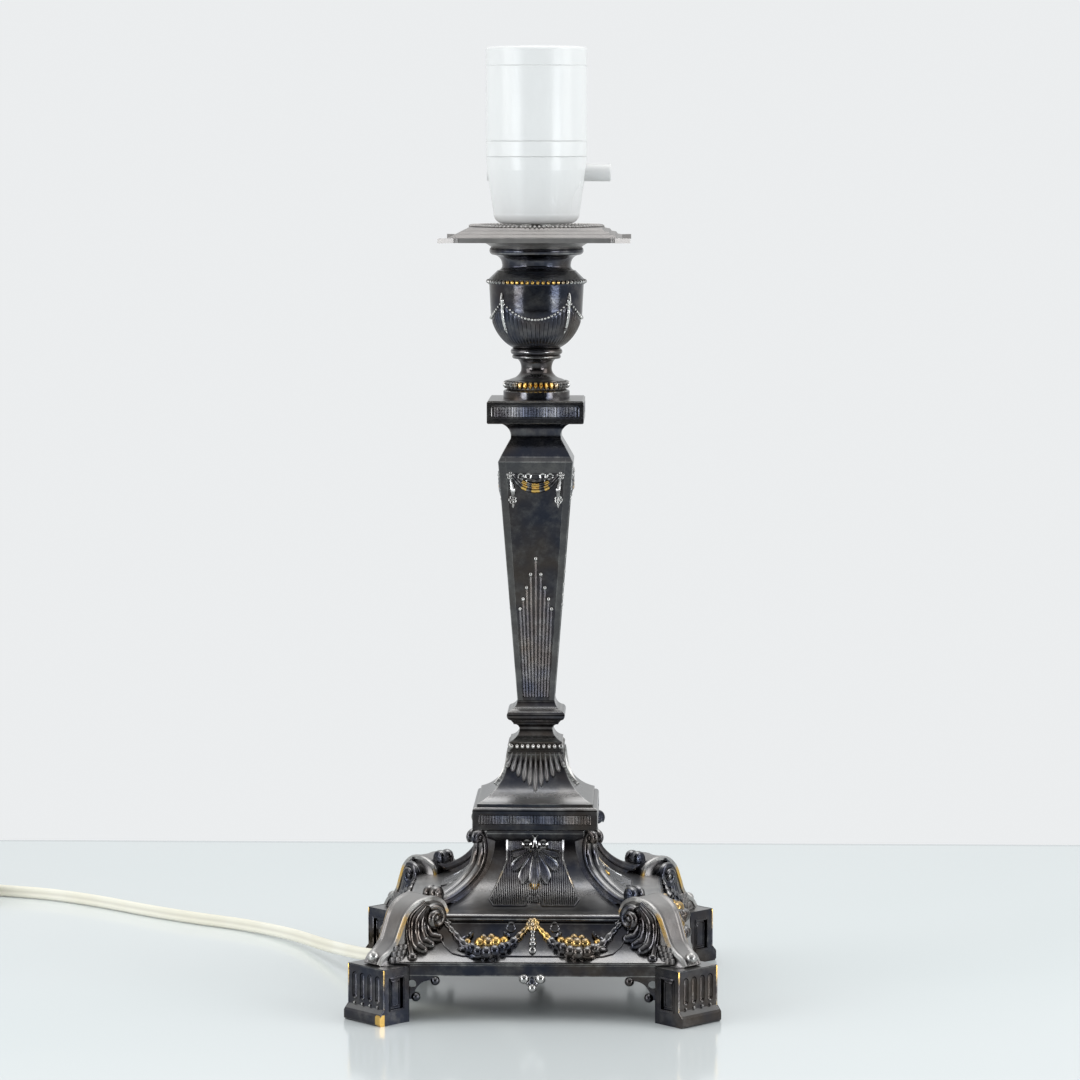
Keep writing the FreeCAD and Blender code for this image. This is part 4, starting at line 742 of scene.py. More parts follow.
def corner_knee():
    """Console of a corner: a flat strap with thin rims, its flanks, the ball at its foot, a scaled apron."""
    path = curve(KNEE_LINE, 40)
    width = np.interp(path[:, 0], [56, 64, 71, 78, 87], [13.0, 14.6, 12.6, 10.8, 8.8])
    brass = np.interp(path[:, 1], [26, 30, 40, 45], [0.1, 0.6, 0.7, 0.2])
    strap = ribbon(path, width, 0.3, 1.2, 0.75, brass, True)
    back = curve(KNEE_BACK, 40)
    share = np.linspace(0, 1, 8)[:, None]
    rho = path[None, :, 0] * (1 - share) + back[None, :, 0] * share
    z = path[None, :, 1] * (1 - share) + back[None, :, 1] * share
    half = width[None, :] / 2 - 0.5 + 2.2 * share ** 2
    side = np.stack([rho, -half, z], -1)
    end_ball = balls((87.8, 0, 25.6), 2.5, 0.75, 0.1, around=18, rings=12)
    scales = []
    for row in range(3):
        at = np.arange(5 - row) * 2.3 + 73.5 + row * 1.2
        edge = 7.2 - 0.09 * (at - 70) ** 1.2 - 0.3 * row
        for y in (-edge, edge):
            centres = np.stack([at, y, 24.2 + row * 2.1 + 0 * at], -1)
            scales.append(balls(centres, (1.5, 0.8, 1.5), 0.4, 0, around=8, rings=4))
    return [strap, slab(side, side * (1, -1, 1), 0.15), end_ball] + scales


def on_console(rho, z, out=0.0):
    """Flank of the front right console, parallel to its corner's diagonal plane."""
    away = console_half + out
    rho, z, away = np.broadcast_arrays(rho, z, away)
    return np.stack([(rho - away) / math.sqrt(2), -(rho + away) / math.sqrt(2), z], -1)


def on_flank(x, z, out=0.0):
    """Front of the acanthus leaves: the frieze, and upright above it."""
    return front_point(x, np.maximum(frieze_half(z), frieze_top_half) + out, z)


LOBES = (((42.5, 45.6, 1.2), (48.0, 40.6, 4.4), (48.9, 34.7, 4.4), (48.1, 29.1, 1.8), (47.0, 24.8, 0.2)),
         ((41.9, 44.3, 1.2), (46.0, 39.4, 3.8), (46.6, 33.6, 3.2), (45.6, 29.4, 1.6), (43.0, 27.4, 0.9)),
         ((41.2, 43.2, 1.2), (43.8, 38.9, 3.2), (44.0, 34.0, 2.7), (43.0, 30.8, 1.5), (40.2, 29.2, 0.8)),
         ((40.2, 41.8, 1.2), (41.8, 38.0, 2.8), (41.4, 34.6, 2.2), (40.0, 32.2, 1.2), (37.0, 31.4, 0.7)))


def acanthus_leaf():
    """Leaf on the right of a face: a volute and four lobes that curl round it, down on to the frieze."""
    flank_out = np.array([-1, -1, 0]) / math.sqrt(2)
    share = np.linspace(0, 1, 48)
    volute = circle(volute_rho, volute_z, volute_radius - 2.9 * share, 48, 60.0, 440.0)
    line = on(on_console, volute, 1.4 * share)
    drum = circle(volute_rho, volute_z, volute_radius, 28)
    rings = np.stack([on(on_console, drum, -0.1), on(on_console, drum, -9.0)])
    skins = [rod(line, np.interp(share, [0, 0.25, 1], [1.2, 2.0, 1.2]), 0.42, 0.05, flank_out, 12),
             balls(on_console(volute_rho, volute_z, 0.8), 1.7, 0.5, 0.0, around=14, rings=8),
             tube(rings, rings.mean(axis=1), 0.12)]
    share = np.linspace(0, 1, 30)
    lines = []
    for lobe, size in zip(LOBES, (1.3, 2.2, 2.25, 2.1)):
        x, z, out = np.array(lobe).T
        line = curve(on_flank(x, z, out), 30)
        thick = size * np.interp(share, [0, 0.35, 0.85, 1], [0.55, 0.85, 1.15, 0.95])
        skins.append(rod(line, thick, 0.15 + 0.27 * share, 0, flank_out, 12))
        if size > 1.2:
            skins.append(balls(line[-1], (2.1, 1.5, 1.9), 0.4, 0, around=14, rings=8))
        lines.append(line)
    front = np.stack(lines) - 0.5 * flank_out
    return skins + [slab(front, front - 5.0 * flank_out, 0.08)]


# ---- frieze: garlands, rosette, tassel, frame line; band: trefoil drops ----
GARLAND = ((34.4, 36.6), (31.0, 33.0), (26.6, 28.6), (21.6, 26.7), (16.8, 26.4), (12.6, 27.0), (8.6, 29.2),
           (4.6, 32.6), (1.9, 35.4))
GARLAND_LEAVES = ((27.4, 30.4, -48), (24.6, 31.4, -20), (27.0, 27.4, -70), (9.4, 31.4, 40), (9.6, 27.6, 30),
                  (22.2, 24.9, -80))
FRAME_LINE = ((0, 25.3), (27.5, 25.3), (31.5, 26.2), (34.6, 28.6), (37.2, 32.6), (37.8, 35.6))
FRUITS = ((23.6, 27.6, 1.5, 1.5), (21.4, 26.2, 1.8, 1.7), (20.6, 29.0, 1.9, 1.7), (18.0, 25.8, 2.2, 1.9),
          (17.4, 28.8, 2.5, 1.9), (14.8, 26.4, 2.1, 1.8), (14.4, 29.2, 2.3, 1.8), (12.0, 27.6, 1.7, 1.6),
          (11.2, 29.9, 1.5, 1.4), (16.2, 31.0, 1.6, 1.3), (19.2, 31.0, 1.2, 1.2), (25.6, 29.6, 1.1, 1.2))
FRUIT_BRASS = 0.62


def blossom(place, x, z, radius, petals, out, wear=0.7, brass=0.0):
    """Small flower: petals round a raised centre."""
    ring = on(place, circle(x, z, radius * 0.62, petals, 20.0), out)
    centre = place(x, z, out + 0.5)
    return [balls(ring, radius * 0.46, wear, brass), balls(centre, radius * 0.36, 0.9, brass)]


def garland():
    path = curve(GARLAND, 60)
    along = np.linspace(0, 1, 60)
    radius = np.interp(along, [0, 0.2, 0.5, 0.75, 1.0], [0.8, 1.7, 3.1, 1.9, 0.8])
    lumpy = radius * (1 + 0.16 * np.sin(along * 90) * (along < 0.95))
    wear = 0.3 + 0.2 * np.abs(np.sin(along * 45))
    skins = [cast(on_frieze, path, 0.9, lumpy, wear, FRUIT_BRASS * (along > 0.8), FRONT, 10)]
    for x, z, out, size in FRUITS:
        brass = FRUIT_BRASS * (z > 28.7)
        skins.append(balls(on_frieze(x, z, out), size * 1.36, 0.36, brass, around=14, rings=9))
    for x, z, lean in GARLAND_LEAVES:
        s, c = math.sin(math.radians(lean)), math.cos(math.radians(lean))
        ways = np.array([(s, -0.3, c), (c, 0, -s), (0, -1, 0.3)])
        skins.append(balls(on_frieze(x, z, 0.9), (3.1, 1.2, 0.8), 0.4, 0.05, ways, 8, 6))
    skins += blossom(on_frieze, 33.6, 36.4, 1.5, 5, 0.6, 0.5)
    ring = cast(on_frieze, circle(8.6, 35.2, 1.6), 0.5, 0.42, 0.45, 0.1, loop=True)
    return skins + [ring, cast(on_frieze, walk(FRAME_LINE, 1.5), 0.05, 0.32, 0.3, sides=6)]


def frieze_middle():
    """Rosette at the middle of a frieze with the tassel that hangs from it."""
    skins = blossom(on_frieze, 0, 36.0, 2.7, 7, 0.9, 0.6, 0.6)
    for z, size in ((33.4, 1.25), (32.0, 0.9), (30.6, 1.3), (29.2, 1.7)):
        skins.append(balls(on_frieze(0, z, 0.9), (size, size * 0.8, 1.1), 0.65, 0.3, around=12, rings=6))
    return skins + [cast(on_frieze, circle(0, 27.3, 0.95, 14), 0.6, 0.4, 0.7, loop=True)]


def trefoil():
    """Three balls under the middle of the band, with a small leaf between them."""
    at_band = on_plane(band_half - 0.6)
    skins = [balls(at_band(np.array([-3.2, 3.2]), z_band - 0.9), 2.1, 0.8, 0.1, around=18, rings=12),
             balls(at_band(0.0, 13.3), 1.9, 0.8, 0.1, around=18, rings=12),
             petal(at_band, (0, z_band + 0.6), (0, 14.6), 1.6, 0.7, 0.2, 0.5, 0.5)]
    hook = curve([(1.2, z_band - 0.2), (2.2, z_band - 2.2), (1.3, z_band - 3.6)], 10)
    return skins + both([cast(at_band, hook, 0.2, 0.6, 0.6)])


# ---- feet ----
def foot_trim():
    """Beads under a foot's flutes, its rubbed edges and double frames; x runs out along its diagonal."""
    y = (np.arange(4) - 1.5) * flute_pitch
    beads = np.stack([0 * y + foot_reach + 0.1, y, 0 * y + 7.0], -1)
    skins = [balls(beads, 0.62, 0.6, 0.1, around=12, rings=8)]
    edge = foot_width / 2 - 0.12
    for side in (-1, 1):
        y = side * edge
        corner = walk([(foot_reach - 0.1, y, 6.2), (foot_reach - 0.1, y, foot_top - 0.2)], 2.0)
        gold = np.interp(corner[:, 2], [6, 9, 20, 22], [0.5, 0.35, 0.6, 0.9])
        skins.append(rod(corner, 0.34, 0.42, gold, (1, 0, 0), 8))
        lip = walk([(foot_reach + 2.0, y, 4.0), (foot_reach + 0.1, y, 6.1)], 1.0)
        skins.append(rod(lip, 0.34, 0.4, 0.0, (0, side, 0), 8))
        for inset, thick in ((0.0, 0.42), (1.5, 0.3)):
            x0, x1 = foot_reach - 10.1 + inset, foot_reach - 3.0 - inset
            z0, z1 = 5.6 + inset, 18.4 - inset
            y = side * (foot_width / 2 - (0.0 if inset == 0 else 0.7))
            loop = walk([(x0, y, z0), (x1, y, z0), (x1, y, z1), (x0, y, z1), (x0, y, z0 + 0.01)], 2.0)
            skins.append(rod(loop, thick, 0.34, 0, (0, side, 0), 6))
    rim = walk([(foot_reach - 0.2, -edge, foot_top - 0.2), (foot_reach - 0.2, edge, foot_top - 0.2)], 3.0)
    return skins + [rod(rim, 0.34, 0.5, 0.15, (1, 0, 0), 6)]


# ---- blocks, roof, collar ----
def block_reeding(half, x_half, low, high, pitch):
    """Reeds in the recess of a block face with the line of its frame, a rectangle with rounded corners."""
    x = np.linspace(-x_half + 0.9, x_half - 0.9, int(2 * (x_half - 0.9) / pitch) * 6 + 1)
    field = reeds(on_plane(half - 0.6), x, low + 0.6, high - 0.6, pitch, 0.42, 0.02, 3, 0.2)
    r = 1.1
    centres = ((x_half - r, low + r), (x_half - r, high - r), (r - x_half, high - r), (r - x_half, low + r))
    ends = [circle(cx, cz, r, 6, 90.0 * k - 90, 90.0) for k, (cx, cz) in enumerate(centres)]
    outline = walk(np.vstack(ends + [ends[0][:1]]), 2.0)[:-1]
    return [field, cast(on_plane(half - 0.35), outline, 0.0, 0.36, 0.42, 0.05, loop=True)]


def roof_fan():
    """Eleven hollow tongues that spread down the hollow roof, the middle one longest."""
    skins = []
    for index in range(-5, 6):
        top = (index * 1.85, z_roof - 0.2)
        tip = (index * 2.35, z_roof - 15.2 + 1.75 * abs(index))
        skins.append(petal(on_roof, top, tip, 1.2, 1.0, 0.1, 0.25, 0.75, (16, 9)))
    return skins


def bead_collar():
    profile = [(0, -3.9), (10.3, -3.9), (10.3, -3.3), (9.7, -3.1), (9.7, -0.8), (10.5, -0.6), (10.6, 0),
               (0, 0)]
    core = square_turned(np.array(profile) + (0, z_collar), 0.4)
    x = np.linspace(-9.7, 9.7, 10)
    row = np.stack([x, 0 * x - 10.1, 0 * x + z_collar - 1.95], -1)
    return [core] + four([balls(row[:-1], (0.98, 1.3, 1.3), 0.7, 0.1, around=12, rings=8)])


# ---- shaft panels ----
REED_TOPS = ((0.0, 176.8), (2.05, 170.4), (3.65, 165.0), (5.1, 160.4), (6.3, 156.4))


def shaft_panel():
    """Reeds with ball tops in the foot of a shaft panel; the double swag with bows and drops at its top."""
    middle, sides = [], []
    for index, (x, z) in enumerate(REED_TOPS):
        line = walk([(index * 1.16, z_shaft_foot + 1.3), (x, z)], 4.0)
        reed = [cast(on_panel, line, 0.0, 0.5, 0.05),
                balls(on_panel(x, z, 0.4), (0.8, 0.8, 0.95), 0.8, 0.1, around=12, rings=8)]
        middle += reed if index == 0 else []
        sides += reed if index else []
    along = np.linspace(0, 1, 40)
    for low, size in ((204.6, 1.05), (206.4, 0.7), (208.2, 0.45)):
        swag = curve([(-9.9, 210.9), (-5.4, low + 1.5), (0, low), (5.4, low + 1.5), (9.9, 210.9)], 40)
        wave = 0.5 + 0.5 * np.abs(np.sin(30 * along))
        thick = size * (0.85 + 0.3 * wave) * (0.6 + 0.6 * np.sin(np.pi * along))
        brass = 0.75 * ((np.abs(swag[:, 0]) < 1.9) | (np.abs(np.abs(swag[:, 0]) - 4.6) < 1.0)) * (size > 0.6)
        middle.append(cast(on_panel, swag, 0.7, thick, 0.55 * wave, brass, FRONT, 10))
    middle.append(cast(on_panel, walk([(-9.8, 211.0), (9.8, 211.0)], 2.0), 0.4, 0.42, 0.45))
    sides += blossom(on_panel, 10.0, 210.3, 1.7, 5, 0.7, 0.7, 0.1)
    drop = curve([(10.0, 209.4), (9.4, 206.6), (9.0, 204.0), (9.1, 201.6)], 18)
    thick = np.interp(np.linspace(0, 1, 18), [0, 0.6, 1], [0.5, 1.25, 0.7])
    sides.append(cast(on_panel, drop, 0.5, thick, 0.6))
    for turn in range(5):
        curl = circle(9.2 + 0.9 * math.cos(1.26 * turn), 200.6 + 0.9 * math.sin(1.26 * turn), 0.62, 10)
        sides.append(cast(on_panel, curl, 0.6, 0.26, 0.75, 0.1, sides=6, loop=True))
    sides.append(balls(on_panel(9.1, 200.6, 0.8), 0.6, 0.8, 0.2))
    sides.append(balls(on_panel(9.0, 198.4, 0.4), (0.6, 0.6, 1.3), 0.65))
    for lean in (-1, 1):
        bow = circle(4.4 + lean * 1.5, 210.0, 1.1, 16)
        sides.append(cast(on_panel, bow, 0.6, 0.42, 0.8, 0.25, loop=True))
        tail = curve([(4.4, 209.6), (4.4 + lean * 0.9, 208.6), (4.4 + lean * 0.5, 207.6)], 10)
        sides.append(cast(on_panel, tail, 0.5, 0.36, 0.6))
    sides.append(balls(on_panel(4.4, 209.9, 0.9), 0.62, 0.85, 0.3))
    return middle + both(sides)


# ---- urn ----
def urn_radius(z):
    """Arc that stands upright at the belly, then a slight cone to the mouth."""
    rise = z_belly - z_knop
    spread_out = urn_belly_radius - urn_low_radius
    bend = (spread_out ** 2 + rise ** 2) / (2 * spread_out)
    arc = urn_belly_radius - bend + np.sqrt(bend ** 2 - np.clip(z_belly - z, 0, rise) ** 2)
    cone = (urn_mouth_radius - urn_belly_radius) * np.clip((z - z_belly) / (z_urn - z_belly), 0, 1)
    return arc + cone


def swag_line(turn):
    """Height of the bead swags round the urn: a parabola in each quarter."""
    share = (np.mod(turn + np.pi / 4, np.pi / 2) - np.pi / 4) / math.radians(42)
    return swag_high - swag_drop * (1 - np.minimum(share ** 2, 1))


def urn_reeding(turn, z):
    share = np.mod(turn / (2 * np.pi) * 60, 1.0)
    rib = 0.42 * (np.sqrt(np.maximum(1 - (2 * share - 1) ** 2, 0)) - 0.6)
    shown = np.clip((swag_line(turn) - 1.0 - z) / 0.8, 0, 1) * np.clip((z - z_knop - 1.0) / 1.0, 0, 1)
    return rib * shown


def urn_body():
    z = np.concatenate([[z_knop], np.linspace(z_knop, z_urn, 60), [z_urn]])
    radius = urn_radius(z)
    radius[[0, -1]] = 0
    turn = np.linspace(0, 2 * np.pi, 360, endpoint=False)[None, :]
    rib = urn_reeding(turn, z[:, None]) / 0.42
    wear = 0.12 + 0.5 * np.clip(rib, 0, 1)

    def swell(angle, height):
        return urn_reeding(angle, height) * (radius[:, None] > 0)

    return [lathe(np.stack([radius, z], -1), 360, wear, 0, swell)]


def urn_garlands():
    skins = []
    for quarter in range(4):
        share = np.linspace(-1, 1, 21)
        turn = math.radians(90 * quarter) + share * math.radians(41)
        z = swag_high - swag_drop * (1 - share ** 2)
        r = urn_radius(z) + 0.2
        size = (0.46 + 0.12 * (1 - share ** 2))[:, None]
        skins.append(balls(np.stack([r * np.cos(turn), r * np.sin(turn), z], -1), size, 0.95, 0.0))
        corner = math.radians(90 * quarter + 45)
        along = np.linspace(0, 1, 30)
        z = swag_high + 4.5 - 16 * along
        r = urn_radius(z) + 0.15
        rib = np.stack([r * math.cos(corner), r * math.sin(corner), z], -1)
        side = (math.cos(corner), math.sin(corner), 0)
        thick = np.interp(along, [0, 0.15, 0.35, 0.85, 1], [0.3, 0.85, 0.6, 0.5, 0.2])
        skins.append(rod(rib, thick * (1 + 0.2 * np.abs(np.sin(22 * along))), 0.9, 0.1, side, 10))
        skins.append(balls(rib[[5, 26]], np.array([[0.95], [0.8]]), 0.6, 0.1))
    return skins


def bead_circle(radius, z, count, size, wear=0.85, brass=None):
    """Beads evenly round the axis, each stretched (along, out, up)."""
    turn = np.arange(count) * 2 * np.pi / count
    centres = np.stack([radius * np.cos(turn), radius * np.sin(turn), 0 * turn + z], -1)
    zero = 0 * turn
    ways = np.stack([np.stack([-np.sin(turn), np.cos(turn), zero], -1),
                     np.stack([np.cos(turn), np.sin(turn), zero], -1),
                     np.stack([zero, zero, zero + 1], -1)], 1)
    gold = 0.9 * np.clip(-np.sin(turn), 0, 1) ** 2 if brass is None else brass
    return balls(centres, size, wear, gold, ways, 10, 6)


def urn_foot():
    waist = curve([(10.5, 7.7), (8.5, 8.4), (7.2, 9.5), (6.4, 10.7), (6.15, 11.8), (6.2, 13.0), (6.6, 14.4),
                   (7.3, 15.4), (7.95, 15.9)], 40)
    foot_part = [(0, 0), (13.3, 0), (13.3, 2.9), (12.9, 3.3), (12.2, 3.5), (11.4, 3.9), (11.7, 5.6),
                 (11.4, 7.2), (10.9, 7.5)]
    profile = np.vstack([foot_part, waist, [(0, 15.9)]])
    wear = np.where((profile[:, 1] > 2) & (profile[:, 1] < 8), 0.45, 0.12)[:, None]
    beads = bead_circle(12.1, z_cap_block + 5.6, 36, (0.86, 1.45, 1.6), 0.7)
    return [lathe(profile + (0, z_cap_block), 128, wear), beads]


def urn_bead_ring():
    profile = [(16.6, 0), (19.3, 0), (19.4, 0.4), (19.0, 1.1), (19.2, 1.9), (18.9, 2.2), (16.6, 2.2),
               (16.6, 0)]
    beads = bead_circle(urn_ring_radius, z_urn + 1.1, 58, (0.80, 1.05, 0.85), 0.7)
    return [lathe(np.array(profile) + (0, z_urn), 128, 0.3), beads]


# ---- cord, coil and plug ----
CORD_ROUTE = ((0, 0, 50), (0, 0, 34.5), (-8, 1, 20.2), (-23, 3, 11.8), (-42, 5, 10.4), (-59, 11, 10.0),
              (-72, 22, 9.2), (-82, 40, 7.4), (-92, 62, 5.0), (-107, 92, 3.2), (-131, 116, 2.7),
              (-155, 130, 2.7), (-179, 148, 2.7), (-203, 169, 2.7), (-228, 185, 2.7), (-254, 193, 2.7),
              (-277.91, 203.20, 2.7))


def coil_points(turn):
    """Spiral in on the floor, up a layer through the half turn where it reverses, and out on top."""
    away = np.abs(turn)
    inside = away < 0.25
    grow = np.where(inside, 2 * turn ** 2 + 0.125, away)
    lift = np.clip(turn / 0.25, -1, 1)
    rise = 0.5 + 0.75 * lift - 0.25 * lift ** 3
    radius = coil_inner + coil_pitch * grow
    angle = np.radians(coil_entry_angle + coil_turned + 360 * (turn + coil_turns / 2))
    x, y = coil_centre[0] + radius * np.cos(angle), coil_centre[1] + radius * np.sin(angle)
    return np.stack([x, y, cord_width / 2 + plug_floor + coil_layer * rise], -1)


def cord_points():
    """Control points of the cord: the route, 16 to each turn of the coil, and a short straight end."""
    turns = np.linspace(-coil_turns / 2, coil_turns / 2, int(coil_turns * 16) + 1)
    coil = coil_points(turns)
    before, after = coil_points(coil_turns / 2 + np.array([-1e-4, 1e-4]))
    way = unit(after - before)
    return np.vstack([CORD_ROUTE, coil, coil[-1:] + way * cord_width]), way


def smooth_path(points):
    """The route's NURBS spline of order 3, read back as a line of points in metres."""
    data = bpy.data.curves.new("cord_route", "CURVE")
    data.dimensions = "3D"
    spline = data.splines.new("NURBS")
    spline.points.add(len(points) - 1)
    spline.points.foreach_set("co", np.hstack([points * MM, np.ones((len(points), 1))]).ravel())
    spline.order_u = 3
    spline.use_endpoint_u = True
    spline.resolution_u = 4
    holder = bpy.data.objects.new("cord_route", data)
    line = bpy.data.meshes.new_from_object(holder)
    found = np.zeros(len(line.vertices) * 3)
    line.vertices.foreach_get("co", found)
    bpy.data.objects.remove(holder)
    bpy.data.meshes.remove(line)
    return found.reshape(-1, 3)


def twin_section(count=28):
    """Section of the twin cord: two round cores side by side in one sheath, drawn in between them."""
    turn = np.linspace(0, 2 * np.pi, count, endpoint=False)
    half = cord_thickness / 2
    apart = cord_width / 2 - half
    across = np.cos(turn) * half + apart * np.tanh(3.2 * np.cos(turn))
    thick = half * np.sin(turn) * (1 - 0.24 * np.exp(-(across / 0.75) ** 2))
    return across, thick


def twin_cord(path):
    """Section carried along the path: leaning on the table, upright as it runs onto the coil."""
    way = unit(np.gradient(path, axis=0))
    side = unit(np.cross(way, (0, 0, 1.0)) + np.array([0, 1e-3, 0]))
    up = np.cross(side, way)
    run = np.concatenate([[0], np.cumsum(np.linalg.norm(np.diff(path, axis=0), axis=1))])
    entry = run[np.argmin(np.linalg.norm(path - np.array(CORD_ROUTE[-1]), axis=1))]
    share = np.clip((run - entry + 75) / 70, 0, 1)
    roll = (cord_lean + (np.pi / 2 - cord_lean) * share ** 2 * (3 - 2 * share))[:, None]
    wide = np.cos(roll) * side + np.sin(roll) * up
    deep = np.cos(roll) * up - np.sin(roll) * side
    across, thick = twin_section()
    rings = path[:, None] + across[None, :, None] * wide[:, None] + thick[None, :, None] * deep[:, None]
    # the per-point value peaks in the groove between the two cores: painted shade, which the plastic
    # material darkens
    return tube(rings, path, 0.35 * np.exp(-(across / 0.5) ** 2))


def plug_piece(tail, way):
    """Flat two-pin plug: sections |y/a|^p + |z/b|^p = 1 along its axis, behind a ribbed relief."""
    front = relief_length + plug_length - plug_round
    s = np.concatenate([np.linspace(0, relief_length, 70), relief_length + np.linspace(0.3, 14, 30),
                        np.linspace(relief_length + 15, front, 14),
                        front + plug_round * np.sin(np.linspace(0.15, 1, 7) * np.pi / 2)])
    share = np.clip(s / relief_length, 0, 1)
    relief = 2.9 + 1.7 * share ** 2
    ribs = 0.45 * np.clip(np.sin(s * 2 * np.pi / 3.3) * 2.5, -1, 0) * (s > 3) * (s < relief_length - 1)
    body = np.clip((s - relief_length) / 13, 0, 1)
    swell = np.sin(body * np.pi / 2)
    ease = swell ** 0.8
    last = np.clip((s - front) / plug_round, 0, 1)
    close = 0.9 * (1 - np.sqrt(np.maximum(1 - last ** 2, 0)))
    wide = (relief + ribs) * (1 - ease) + ease * plug_width / 2 - close
    tall = (relief + ribs) * (1 - swell) + swell * plug_thickness / 2 - close
    power = 2 + 2.6 * body
    wave = np.clip(np.sin((s - relief_length) * 2 * np.pi / 2.6) * 3, -1, 0)
    grip = 0.5 * wave * (body >= 0.6) * (body < 1)
    turn = np.linspace(0, 2 * np.pi, 64, endpoint=False)[None, :]
    c, d = np.cos(turn), np.sin(turn)
    across = np.sign(c) * np.abs(c) ** (2 / power[:, None]) * (wide + grip)[:, None]
    height = np.sign(d) * np.abs(d) ** (2 / power[:, None]) * tall[:, None]
    sink = tail[2] - plug_thickness / 2 - plug_floor
    centre = -sink * (3 - 2 * share) * share * share
    side = np.array([-way[1], way[0], 0])
    rows = tail + s[:, None, None] * way + across[..., None] * side
    rows[..., 2] += centre[:, None] + height
    return tube(rows, tail + s[:, None] * way + np.stack([0 * s, 0 * s, centre], -1))


def make_cord():
    points, way = cord_points()
    path = smooth_path(points)
    cord = make("cord", [twin_cord(path / MM)], sheath, ("cord_free", "cord_coil"), 70.0)
    plug = make("plug", [plug_piece(points[-1], way)], plug_white, ("plug_body",), 50.0)


# ---- the pieces ----
def carve(name, skins, *replaced, material=plate):
    """Silver-plated piece that rides on the lamp."""
    make(name, skins, material, replaced)


make_cord()
carve("skirt_panels", four(skirt_panel()))
carve("palmette_carving", four(palmette()), "palmettes")
scroll_skins, knee_skins, trim_skins = corner_scroll(), corner_knee(), foot_trim()
for corner, angle in CORNERS.items():
    carve("scroll_carving_" + corner, [spun(skin, angle) for skin in scroll_skins], "scroll_" + corner)
    knee = [spun(skin, angle) for skin in knee_skins]
    carve("knee_carving_" + corner, knee, "knee_" + corner, material=satin_plate)
    carve("foot_trim_" + corner, [spun(skin, angle) for skin in trim_skins])
carve("acanthus_carving", four(both(acanthus_leaf())), "acanthus_leaves")
carve("garland_carving", four(both(garland()) + frieze_middle()), "base_garlands")
carve("trefoil_balls", four(trefoil()), "trefoil_drops")
carve("pedestal_reeds", four(block_reeding(block_half, 22.3, z_skirt + 2.2, z_block - 2.7, 1.05)))
carve("capital_reeds", four(block_reeding(cap_block_half, 17.4, z_capital + 2.2, z_cap_block - 1.8, 1.05)))
carve("roof_tongues", four(roof_fan()), "roof_fans", material=satin_plate)
carve("collar_beads", bead_collar(), "bead_collar")
carve("shaft_carving", four(shaft_panel()), "shaft_garlands", "shaft_reeds")
carve("urn_foot_turned", urn_foot(), "urn_foot")
carve("urn_reeded", urn_body(), "urn_body")
carve("urn_rim_beads", urn_bead_ring(), "urn_bead_ring")
carve("urn_bead_swags", urn_garlands(), "urn_swags")
pan_beads = bead_circle(pan_ring_radius, z_pan + 0.3, 92, (0.7, 1.6, 0.75), 0.55, 0.0)
make("pan_bead_circle", [pan_beads], pan_plate, ("pan_bead_ring",))


# ---- table, light, camera ----
WHITE_LIGHT = (1.0, 1.0, 1.0)
WINDOW_LIGHT = (0.93, 0.97, 1.0)
table_half = 2600.0
table_far = 338.0          # the table ends here, a little way behind the lamp


def table_top():
    """Pale table with painted shade along its far edge."""
    x, y = np.meshgrid([-table_half, table_half], [-table_half, table_far], indexing="ij")
    mesh = bpy.data.meshes.new("table")
    corners = np.stack([x, y, 0 * x], -1).reshape(-1, 3) * MM
    mesh.from_pydata(corners.tolist(), [], [(0, 2, 3, 1)])
    finish = Finish("table_top")
    tone = finish.noise(3.0, 2.0)
    colour = finish.mix(tone.rise(0.3, 0.7), (0.67, 0.72, 0.725), (0.70, 0.74, 0.745))
    # painted shade: a darker strip along the table's far edge
    far_edge_shade = finish.axes(finish.place)[1].rise((table_far - 6) * MM, (table_far - 1) * MM)
    colour = finish.mix(far_edge_shade * 0.6, colour, (0.45, 0.48, 0.49))
    mesh.materials.append(finish.done(Base_Color=colour, Roughness=0.13))
    table = bpy.data.objects.new("table", mesh)
    bpy.context.scene.collection.objects.link(table)


def softbox(name, place, aim, width, height, power, colour=WHITE_LIGHT):
    light = bpy.data.lights.new(name, "AREA")
    light.shape = "RECTANGLE"
    light.size = width
    light.size_y = height
    light.energy = power
    light.color = colour
    lamp = bpy.data.objects.new(name, light)
    lamp.location = place
    lamp.rotation_euler = (Vector(aim) - Vector(place)).to_track_quat("-Z", "Y").to_euler()
    bpy.context.scene.collection.objects.link(lamp)


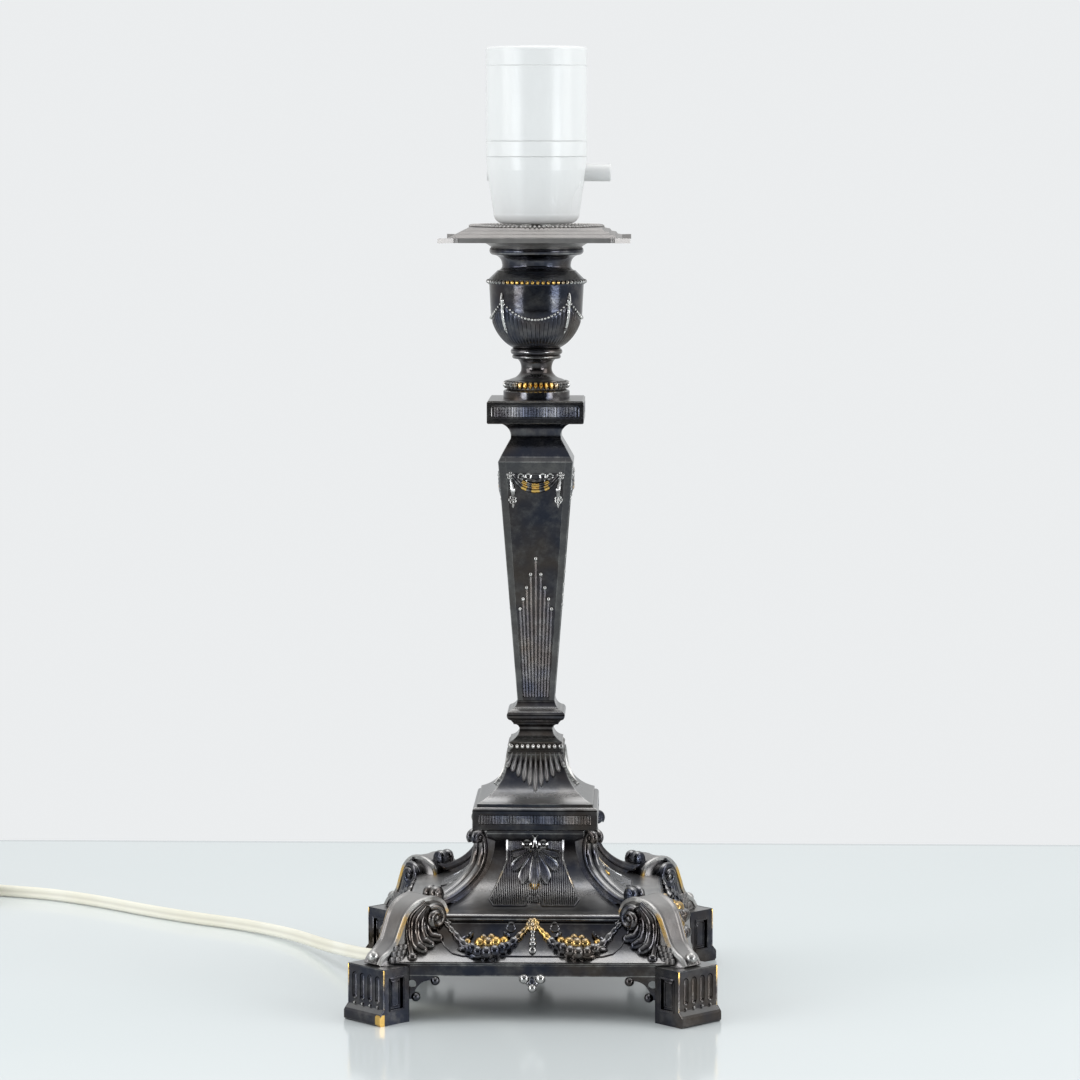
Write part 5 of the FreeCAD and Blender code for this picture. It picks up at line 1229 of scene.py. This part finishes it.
def surroundings():
    """Pale room: a pale wall for the camera; for reflections and fill it is dimmer low down in front."""
    world = bpy.data.worlds.new("room")
    bpy.context.scene.world = world
    world.use_nodes = True
    room = NodeTree(world.node_tree)
    room.tree.nodes.clear()
    x, y, z = room.axes(room.node("ShaderNodeTexCoord", output="Generated"))
    front = (0 - y).rise(0.25, 0.85) * (1 - z.rise(0.15, 0.75))
    colour = room.mix(front, (0.80, 0.82, 0.83), (0.05, 0.05, 0.055))
    seen = room.node("ShaderNodeBackground", {}, {"Color": (0.835, 0.850, 0.860), "Strength": 1.0})
    felt = room.node("ShaderNodeBackground", {}, {"Color": colour, "Strength": 0.85})
    camera_ray = room.node("ShaderNodeLightPath", output="Is Camera Ray")
    shader = room.node("ShaderNodeMixShader", {}, {0: camera_ray, 1: felt, 2: seen})
    room.feed(room.tree.nodes.new("ShaderNodeOutputWorld").inputs["Surface"], shader)


def photograph_camera():
    """Camera of the photograph: 133 mm on a 36 mm frame, 1.6 m away, 344 mm up, 5.74 degrees down.

    The lamp's axis lies at pixel 536.5 of 1080; the focal length is 4000 pixels.
    """
    distance, height, azimuth, pitch = 1.6, 0.344, math.radians(1.6), math.radians(5.74)
    focal, picture, axis_at = 4000.0, 1080.0, 536.5
    offset = math.atan((axis_at - picture / 2) / focal)
    data = bpy.data.cameras.new("camera")
    data.sensor_width = 36.0
    data.lens = data.sensor_width * focal / picture
    data.clip_start = 0.01
    camera = bpy.data.objects.new("camera", data)
    camera.location = (math.sin(azimuth) * distance, -math.cos(azimuth) * distance, height)
    heading = azimuth + offset
    flat = math.cos(pitch)
    ahead = Vector((-math.sin(heading) * flat, math.cos(heading) * flat, -math.sin(pitch)))
    camera.rotation_euler = ahead.to_track_quat("-Z", "Y").to_euler()
    bpy.context.scene.collection.objects.link(camera)
    bpy.context.scene.camera = camera


table_top()
surroundings()
softbox("softbox_left", (-1.25, -0.55, 0.75), (0, 0, 0.2), 0.7, 1.1, 7.0)
softbox("softbox_right", (1.25, -0.35, 0.75), (0, 0, 0.2), 0.6, 1.1, 6.0)
softbox("window_left", (-1.0, -1.05, 0.23), (0, 0, 0.29), 0.50, 0.26, 4.2, WINDOW_LIGHT)
softbox("window_right", (1.12, -1.0, 0.23), (0, 0, 0.29), 0.50, 0.26, 4.6, WINDOW_LIGHT)
softbox("softbox_top", (0.1, 0.15, 1.5), (0, 0, 0.1), 1.2, 1.0, 9.0)
photograph_camera()
bpy.context.scene.view_settings.view_transform = "Standard"
